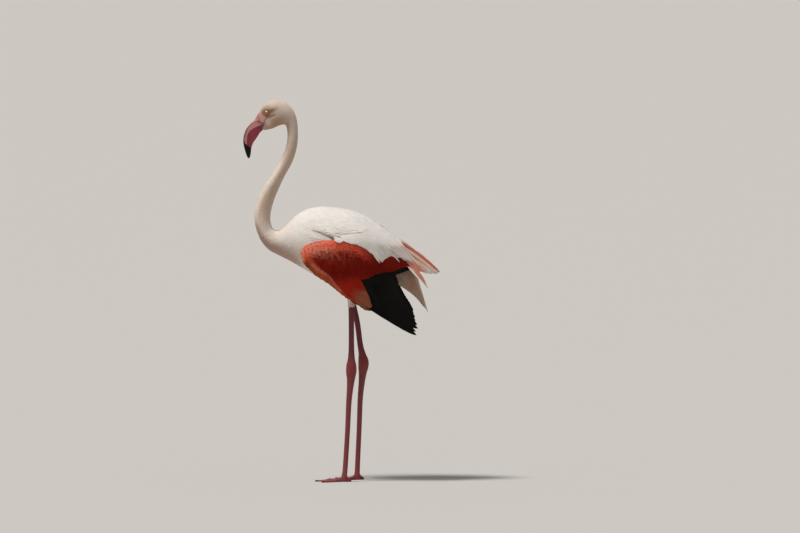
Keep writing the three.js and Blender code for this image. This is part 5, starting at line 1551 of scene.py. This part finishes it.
# loose white feathers of the back hanging over the top of each wing
for side, tag in ((LEFT, "left"), (RIGHT, "right")):
    surf = Shoulder(side, depth=1.0)
    coat = Coat("scapulars_" + tag)
    low_x, low_z = MANTLE[:, 2], MANTLE[:, 3]
    zone = lambda x, z: (white_zone(x, z) > 2.0) & (z < np.interp(x, low_x, low_z) + 30) & (x > -60) & (x < 165) & (z > 600)
    x, z = rows_on_wing(zone, lambda x, z: 4.6 + 0 * x, (-120, 205, 610, 762))
    ang = np.radians(np.interp(px(x), [305, 330, 360, 380, 408], [10, 22, 34, 34, 26]) + (rng.random(len(x)) - 0.5) * 10)
    L = np.interp(px(x), [305, 330, 360, 410], [20, 30, 42, 46]) * (0.85 + 0.3 * rng.random(len(x)))
    for _ in range(3):
        over = white_zone(x + np.cos(ang) * L, z - np.sin(ang) * L)
        L = np.where(over < -1.0, L + (over + 1.0) * 2.2, L)
    ok = (L > 7) & (x > rng.uniform(-42, -6, len(x)))
    x, z, ang, L = x[ok], z[ok], ang[ok], L[ok]
    c = np.repeat(WHITE[None], len(x), 0) * (0.95 + 0.07 * rng.random(len(x)))[:, None]
    c1 = tint(c, np.repeat(np.array([[0.84, 0.74, 0.72]]), len(x), 0), smooth(360, 395, px(x)) * 0.7)
    vanes(coat, surf, x, z, np.cos(ang), -np.sin(ang), L, L * 0.30, "lance", (0.0, 1.1, 1.6), wing_uv(x, z), c * 0.90, c1 * 1.02, thick=0.15, ridge=0.16,
          camber=0.14, sway=(rng.random(len(x)) - 0.5) * 0.3, fray=0.10)
    # a ragged edge of pointed ones over the red
    for u0, v0, u1, v1, wd in ((372, 246, 381, 258.5, 8), (376, 246, 386.5, 256.5, 8), (380, 245, 389.5, 255.0, 7), (384, 245, 394.5, 257, 7), (387, 245, 398.8, 261.5, 6),
                               (390, 245.5, 400.5, 257.5, 8), (393, 246, 404.5, 260.5, 6.5), (396, 246, 406.5, 258.5, 8), (399, 247.5, 409.5, 264.5, 6.5),
                               (401, 249, 411.5, 262.5, 8), (366, 241, 376.5, 258, 8), (369, 243.5, 378.5, 262.0, 9), (373, 247, 381.5, 261.0, 8)):
        x0, z0, x1, z1 = (u0 - 345) * 2.95, (480.8 - v0) * 2.95, (u1 - 345) * 2.95, (480.8 - v1) * 2.95
        an, ln = math.atan2(z0 - z1, x1 - x0), math.hypot(x1 - x0, z1 - z0)
        vanes(coat, Shoulder(side, depth=-0.6), np.array([x0]), np.array([z0]), np.array([math.cos(an)]), np.array([-math.sin(an)]), ln, wd, "lance", (-3.0, 1.2, 1.4),
              wing_uv(np.array([x0]), np.array([z0])), WHITE[None] * 0.96, np.array([[0.80, 0.70, 0.68]]), thick=0.2, ridge=0.3, camber=0.2, sway=0.25, fray=0.1)
    # long pointed tertials with red stripes and pale edges: root, tip, width, red, depth
    def flat(u0, v0, u1, v1, off, up=0.2):
        x0, z0, x1, z1 = (u0 - 345) * 2.95, (480.8 - v0) * 2.95, (u1 - 345) * 2.95, (480.8 - v1) * 2.95

        class Flat:
            def point(self, p, q):
                y = np.interp(p, [110, 140, 165, 190, 220, 250, 275], [83, 74, 66, 59.5, 54.5, 51, 48]) + off
                pt = np.stack([p, side * y, q], -1)
                nn = np.zeros_like(pt)
                nn[..., 1] = side
                nn[..., 2] = up
                return pt, nn / np.linalg.norm(nn, axis=-1, keepdims=True)
        an = math.atan2(z0 - z1, x1 - x0)
        return Flat(), np.array([x0]), np.array([z0]), np.array([math.cos(an)]), np.array([-math.sin(an)]), math.hypot(x1 - x0, z1 - z0)

    deep_red = np.array([0.62, 0.13, 0.095])
    cream = np.array([0.84, 0.70, 0.58])
    for u0, v0, u1, v1, wd, hue, edge, off, sw in (
            (399.5, 239.5, 438.3, 271.8, 15, deep_red, deep_red * 1.1, -6.0, 0.35), (400, 243.5, 434, 270.6, 12, WHITE, cream, -4.6, 0.2),
            (401, 246.5, 437.0, 271.9, 14, (cream + SALMON) / 2, cream, -3.2, 0.1), (402, 249, 428, 270.8, 11, deep_red * 1.15, SALMON, -1.8, 0.1),
            (403, 252, 431.5, 272.2, 13, SALMON, cream, -0.6, 0.0), (404.5, 256, 424.5, 271.6, 12, (cream + SALMON) / 2, SALMON, 0.4, 0.0),
            (405.5, 259.5, 419.5, 271.0, 11, deep_red, SALMON, 1.2, 0.0),
            (394, 243, 412.5, 261.5, 10, WHITE, WHITE, 2.0, 0.0), (398, 243.5, 417.5, 263.0, 10, WHITE, cream, 1.4, 0.1), (391, 243.5, 407.5, 259.0, 9, WHITE, WHITE, 2.5, 0.0),
            (402, 247, 420, 265.5, 8, WHITE, cream, 0.8, 0.1), (388, 243, 402, 256.0, 9, WHITE, WHITE, 2.8, 0.0)):
        surf1, p0, q0, dp, dq, ln = flat(u0, v0, u1, v1, off)
        vanes(coat, surf1, p0, q0, dp, dq, ln, wd, "lance", (-1.0, 0.2, 0.0), wing_uv(p0, q0), np.asarray(hue)[None] * 1.0, np.asarray(edge)[None] * 1.0,
              thick=0.4, ridge=0.5, camber=0.5, sway=sw, fray=0.03)
        # a narrow streak of the other colour along the shaft
        vanes(coat, surf1, p0, q0, dp, dq, ln * 0.93, wd * 0.28, "lance", (-0.6, 0.75, 0.35), wing_uv(p0, q0), (SALMON if hue is not SALMON else cream)[None],
              (SALMON * 0.8 + cream * 0.2)[None] if hue is not WHITE else WHITE[None], thick=0.3, ridge=0.4, camber=0.2, sway=sw * 2.2, fray=0.03)
    # the one that hangs behind the primaries, cream with a red inner web
    for u0, v0, u1, v1, wd, hue, edge, off in ((412.5, 262.5, 427.6, 287.4, 8, SALMON, cream, 2.4), (409.8, 262.0, 425.0, 281.2, 9.5, deep_red * 1.25, SALMON, 3.4),
                                              (407.0, 264.3, 422.8, 281.8, 7.6, np.array([0.95, 0.84, 0.70]), np.array([0.95, 0.86, 0.75]), 5.2)):
        surf1, p0, q0, dp, dq, ln = flat(u0, v0, u1, v1, off, 1.2)
        vanes(coat, surf1, p0, q0, dp, dq, ln, wd, "quill", (-1.0, 0.2, 0.0), wing_uv(p0, q0), np.asarray(hue)[None], np.asarray(edge)[None],
              thick=0.4, ridge=0.6, camber=0.4, sway=0.0, fray=0.03)
    finish_coat(coat, M_ROSE, ("tertial_" + tag,))

# --------------------------------------------------------------------- tail
def tail_color(x, z, k):
    """Tan and brown toward the wing, salmon in the middle, whitish along the far edge."""
    u, v = px(np.asarray(x, float)), pz(np.asarray(z, float))
    n = len(u)
    c = np.repeat(np.array([[0.40, 0.285, 0.20]]), n, 0)
    c = tint(c, np.repeat(np.array([[0.60, 0.47, 0.37]]), n, 0), np.exp(-((u - 402) / 5.0) ** 2 - ((v - 276.5) / 3.0) ** 2) * 0.9)
    c = tint(c, np.repeat(np.array([[0.27, 0.165, 0.10]]), n, 0), smooth(402, 394, u - 0.55 * (v - 284)) * 0.75)
    c = tint(c, np.repeat(np.array([[0.50, 0.20, 0.125]]), n, 0), np.exp(-((u - 412.5 - 0.1 * (v - 285)) / 3.6) ** 2 - ((v - 284) / 8.0) ** 2) * 0.85)
    c = tint(c, np.repeat(np.array([[0.66, 0.55, 0.47]]), n, 0), smooth(-2.2, 0.6, u - 419.0 - 0.36 * (v - 288)) * 0.85)
    c = tint(c, np.repeat(np.array([[0.50, 0.40, 0.32]]), n, 0), smooth(296, 308, v) * 0.6)
    return c * (1 + 0.16 * (np.asarray(k) - 0.5))[:, None]


TAILS = Loft(TAIL, inset=2.5)
coat = Coat("tail_feathers")
# twelve long feathers, the middle pair uppermost
for j in range(12):
    s = (j - 5.5) / 5.5
    a0 = s * 1.35
    lift = 1.2 - 1.0 * abs(s)
    t0 = 1.6
    dt = np.array([(5.85 - 0.55 * abs(s) - t0) / 150.0])
    k = rng.random(1)
    pr, _ = TAILS.point(np.array([2.6]), np.array([a0]))
    pt_, _ = TAILS.point(np.array([5.4]), np.array([a0]))
    col, col1 = tail_color(pr[:, 0], pr[:, 2], k), tail_color(pt_[:, 0], pt_[:, 2], k)
    vanes(coat, TAILS, np.array([t0]), np.array([a0]), dt, np.array([0.0]), 150.0, 19.0, "quill", (0.0, lift, lift), uv_loft(np.array([t0]), np.array([a0]), 0, 6),
          col * 0.95, col1, thick=0.45, ridge=0.7, camber=0.5)
t, a = scatter(TAILS, 0.0, 4.3, 7.0)
L = 30 * (0.85 + 0.3 * rng.random(len(t)))
dt, da = steps(TAILS, t, a, (rng.random(len(t)) - 0.5) * 0.2)
L = np.where(t + dt * L > 5.9, np.maximum(5.9 - t, 0.2) / dt, L)
k = rng.random(len(t))
pr, _ = TAILS.point(t, a)
pt_, _ = TAILS.point(clamp(t + dt * L * 0.9, 0, 5.95), a)
c, c1 = tail_color(pr[:, 0], pr[:, 2], k), tail_color(pt_[:, 0], pt_[:, 2], k)
vanes(coat, TAILS, t, a, dt, da, L, 10.5, "lance", (0.2, 1.0, 1.2), uv_loft(t, a, 0, 6), c * 0.86, c1 * 1.04, thick=0.2, ridge=0.45, camber=0.3, fray=0.1)
finish_coat(coat, M_ROSE, ("tail",))

# --------------------------------------------------------------------- bill
GROOVE = [(262.5, 119.8), (258.5, 120.8), (255.8, 121.5), (251.9, 123.2), (249.0, 125.6), (246.9, 128.8), (245.3, 132.5), (244.4, 137.0)]
OUTER = [(249.0, 125.6), (246.9, 128.8), (245.3, 132.5), (244.4, 137.0), (240, 140), (236, 120), (249, 112)]


def bill_half(name, upper):
    rows = []
    for r in BILL:
        a, b, c, d = (r[0], r[1], r[2], r[3]) if upper else (r[2], r[3], r[4], r[5])
        h = math.hypot(a - c, b - d)
        if upper:
            c, d = c - (a - c) / h * 0.06, d - (b - d) / h * 0.06
        else:
            a, b = a + (a - c) / h * 0.06, b + (b - d) / h * 0.06
        rows.append((a, b, c, d, r[6]))
    surf = Loft(rows, inset=0.0, level=-0.96 if upper else 0.96)
    ts = np.linspace(-0.30, surf.end - 0.01, 206)
    aa = np.linspace(-PI, PI, 120, endpoint=False)
    tt, ag = np.meshgrid(ts, aa, indexing="ij")
    p, _, _, n = surf.frame(tt, ag)
    u, v = px(p[..., 0]), pz(p[..., 2])
    lat = np.abs(np.sin(ag))
    r = np.zeros(tt.shape)
    if upper:
        # nostril slit in a shallow groove, ridge of the culmen, cross folds at the bend
        gr = dist_line(GROOVE, u, v)
        r += -0.55 * np.exp(-(gr / 0.42) ** 2) * smooth(0.3, 0.7, lat)
        q = np.hypot((u - 254.6) * 0.45, (v - 121.6))
        r += -0.9 * np.exp(-(gr / 0.30) ** 2 - (q / 1.2) ** 4) * smooth(0.3, 0.7, lat)
        fold = np.sin((u * 0.55 + v * 0.85) * 2.7 + 0.8 * np.sin(v * 0.9))
        r += 0.16 * fold * np.exp(-((u - 260.0) / 2.6) ** 2 - ((v - 119.8) / 3.0) ** 2) * lat
        r += 0.12 * np.sin(tt * 15.0 + 0.6 * np.sin(ag * 3)) * smooth(2.0, 4.0, tt) * smooth(8, 6, tt) * lat
        r += -0.25 * np.exp(-((np.abs(ag) - 1.18) / 0.07) ** 2) * smooth(0.5, 2, tt)
    else:
        r += -0.45 * np.exp(-((np.abs(ag) - 1.95) / 0.09) ** 2) * smooth(0.2, 1.2, tt) * smooth(9, 7, tt)
        r += 0.15 * np.sin(tt * 13.0 + 1.1 * np.cos(ag * 2)) * smooth(1.0, 3.0, tt) * smooth(8, 6, tt)
        r += 0.25 * np.exp(-((np.abs(ag) - 1.52) / 0.10) ** 2)
    r += 0.07 * wobble(p[..., 0], p[..., 1] * 1.2, p[..., 2], 2.6)
    r *= smooth(0.0, 0.4, tt)
    r += -1.1 * smooth(0.12, -0.25, tt)
    p = p + n * r[..., None] - n * 0.10
    v3, tris = capped(p)
    u, v = px(v3[:, 0]), pz(v3[:, 2])
    nv = len(v3)
    c = np.repeat((HORN if upper else KEEL)[None], nv, 0)
    w = wobble(v3[:, 0], v3[:, 1], v3[:, 2], 7.0)
    TOM = [(261, 123.2), (260, 123.5), (255, 125.5), (250, 128.5), (247, 132.5), (245.8, 137), (245.8, 141), (246, 146)]
    dl = dist_line(TOM, u, v)
    # black from the bend to the tip
    line = inside_by([(240, 136.8), (243.5, 138.6), (245, 142.6), (247, 144.3), (249.5, 146.3), (251.8, 147.2), (258, 152), (258, 175), (230, 175), (230, 132)], u, v)
    if upper:
        c = tint(c, np.repeat((HORN * 0.55)[None], nv, 0), smooth(125, 134, v) * smooth(250, 246, u) * 0.7)
        # painted highlight on the culmen near the bill base
        c = tint(c, np.repeat((HORN * np.array([1.25, 1.45, 1.40]))[None], nv, 0), np.exp(-((u - 253.6) / 3.0) ** 2 - ((v - 119.6) / 2.6) ** 2) * 0.85)
        gr = dist_line(GROOVE, u, v)
        above = inside_by(OUTER, u, v)
        c = tint(c, np.repeat(np.array([[0.14, 0.040, 0.040]]), nv, 0), smooth(-0.5, 0.6, above) * smooth(124.0, 129.0, v) * 0.85)
        c = tint(c, np.repeat(np.array([[0.13, 0.030, 0.030]]), nv, 0), np.exp(-(gr / 0.42) ** 2) * 0.85)
        # painted light and shade on the cross folds: the colour follows the fold relief, lighter on the ridges and
        # darker in the troughs
        fold = np.sin((u * 0.55 + v * 0.85) * 2.7 + 0.8 * np.sin(v * 0.9))
        c = c * (1 + 0.22 * fold * np.exp(-((u - 260.0) / 2.6) ** 2 - ((v - 119.8) / 3.0) ** 2))[:, None]
    else:
        c = tint(c, np.repeat((KEEL * 1.5)[None], nv, 0), smooth(1.5, 5.0, dl) * smooth(262, 250, u) * 0.3)
        c = tint(c, np.repeat((KEEL * 0.6)[None], nv, 0), smooth(258, 266, u) * 0.5)
    c = tint(c, np.repeat(HORN_PALE[None], nv, 0), np.exp(-((dl + (0.15 if upper else -0.35)) / 0.55) ** 2) * (0.55 if upper else 0.9))
    c = c * (1 + 0.10 * w)[:, None]
    c = tint(c, np.repeat(BLACKHORN[None], nv, 0), smooth(-0.45, 0.35, line + 0.25 * w))
    ob = build(name, v3, tris, c)
    ob.data.materials.append(M_HORN)
    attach(ob, "root")
    return ob


up = bill_half("bill_upper_horn", True)
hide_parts("bill_upper")
low = bill_half("bill_lower_horn", False)
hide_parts("bill_lower")

# --------------------------------------------------------------------- eyes
for side, tag in ((LEFT, "left"), (RIGHT, "right")):
    th = np.linspace(0.0, PI, 56)[1:-1]
    ph = np.linspace(-PI, PI, 64, endpoint=False)
    tt, pp = np.meshgrid(th, ph, indexing="ij")
    rad = 5.9 + 0.30 * np.exp(-(tt / 0.55) ** 2)         # the cornea stands a little proud
    ax = np.array([-0.10, 1.0, 0.02])
    ax /= np.linalg.norm(ax)
    e1 = np.array([1.0, 0.10, 0.0])
    e1 /= np.linalg.norm(e1)
    e2 = np.cross(ax, e1)
    d = np.cos(tt)[..., None] * ax + np.sin(tt)[..., None] * (np.cos(pp)[..., None] * e1 + np.sin(pp)[..., None] * e2)
    pts = d * rad[..., None]
    pts[..., 1] *= side
    pts += np.array([EX, EY * side, EZ])
    v, tris = capped(pts)
    ang = np.concatenate([tt.ravel(), [0.0, PI]])
    iris = np.array([0.62, 0.42, 0.14])
    c = np.repeat(iris[None], len(v), 0)
    c = tint(c, np.repeat(np.array([[0.70, 0.52, 0.22]]), len(v), 0), smooth(0.34, 0.50, ang))
    c = tint(c, np.repeat(np.array([[0.10, 0.045, 0.02]]), len(v), 0), smooth(0.66, 0.76, ang))
    c = tint(c, np.repeat(np.array([[0.003, 0.003, 0.003]]), len(v), 0), smooth(0.35, 0.31, ang))
    ob = build("eyeball_" + tag, v, tris, c)
    ob.data.materials.append(M_EYE)
    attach(ob, "root")
    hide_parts("eye_" + tag)

# -------------------------------------------------------------------- claws
cv, ct, cc, base = [], [], [], 0
for leg in LEGS.values():
    fx, fy, turn = leg["foot"]
    for t, ln in TOES + [HIND]:
        q = math.radians(t + turn) + PI
        d = np.array([math.cos(q), math.sin(q), 0.0])
        s = np.array([-math.sin(q), math.cos(q), 0.0])
        k = np.linspace(0, 1, 9)
        reach = ln - 0.6 - (9.0 if ln > 40 else 6.0) * (1 - k)
        rad = (2.1 if ln > 40 else 1.7) * np.sqrt(np.maximum(1 - k ** 1.6, 0.0)) + 0.12
        zc = 2.6 + 1.0 * np.sin(k * PI * 0.6) - 2.2 * k ** 2
        zc = np.maximum(zc, rad * 0.9 + 0.1)
        aa = np.linspace(-PI, PI, 14, endpoint=False)
        pts = np.array([fx, fy, 0.0]) + d * reach[:, None, None] + s * (np.sin(aa) * rad[:, None])[..., None] \
            + np.array([0, 0, 1.0]) * (zc[:, None] + np.cos(aa) * rad[:, None] * 0.85)[..., None]
        v, tris = capped(pts)
        cv.append(v)
        ct.append(tris + base)
        base += len(v)
        cc.append(np.repeat(np.array([[0.035, 0.022, 0.020]]), len(v), 0))
claws = build("claws", np.concatenate(cv), np.concatenate(ct), np.concatenate(cc))
claws.data.materials.append(M_HORN)
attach(claws, "root")

# ------------------------------------------------------ floor, light, camera
scene = bpy.context.scene
scene.view_settings.view_transform = "Standard"
world = bpy.data.worlds.new("studio")
scene.world = world
world.use_nodes = True
bg = world.node_tree.nodes["Background"]
bg.inputs[0].default_value = (1.0, 0.965, 0.92, 1.0)
bg.inputs[1].default_value = 0.29

fm, fnt, fb = node_mat("floor")
fb.inputs["Base Color"].default_value = (0.56, 0.55, 0.535, 1)
fb.inputs["Roughness"].default_value = 0.9
ring = np.linspace(0, 2 * PI, 64, endpoint=False)
fv = np.stack([np.cos(ring) * 90, np.sin(ring) * 90, 0 * ring - 0.0002], -1)
me = bpy.data.meshes.new("floor")
me.from_pydata([tuple(k) for k in fv], [], [tuple(range(64))])
floor = bpy.data.objects.new("floor", me)
me.materials.append(fm)
scene.collection.objects.link(floor)


def sun(name, toward, strength, angle, color=(1, 1, 1)):
    ld = bpy.data.lights.new(name, "SUN")
    ld.energy = strength
    ld.angle = math.radians(angle)
    ld.color = color
    ob = bpy.data.objects.new(name, ld)
    ob.rotation_euler = Vector(toward).to_track_quat("Z", "Y").to_euler()
    scene.collection.objects.link(ob)
    return ob


sun("key", (-0.34, -0.17, 0.92), 2.75, 12, (1.0, 0.965, 0.92))

AZ, EL, DIST = math.radians(-1.5), math.radians(3.0), 30.0
target = Vector((0.1746, 0.0, 0.633))
back = Vector((math.sin(AZ) * math.cos(EL), -math.cos(AZ) * math.cos(EL), math.sin(EL)))
cam_data = bpy.data.cameras.new("camera")
cam_data.sensor_width = 36.0
cam_data.lens = 36.0 * 30000.0 / 2360.0
cam_data.clip_start = 1.0
cam_data.clip_end = 500.0
cam = bpy.data.objects.new("camera", cam_data)
cam.location = target + back * DIST
cam.rotation_euler = back.to_track_quat("Z", "Y").to_euler()
scene.collection.objects.link(cam)
scene.camera = cam
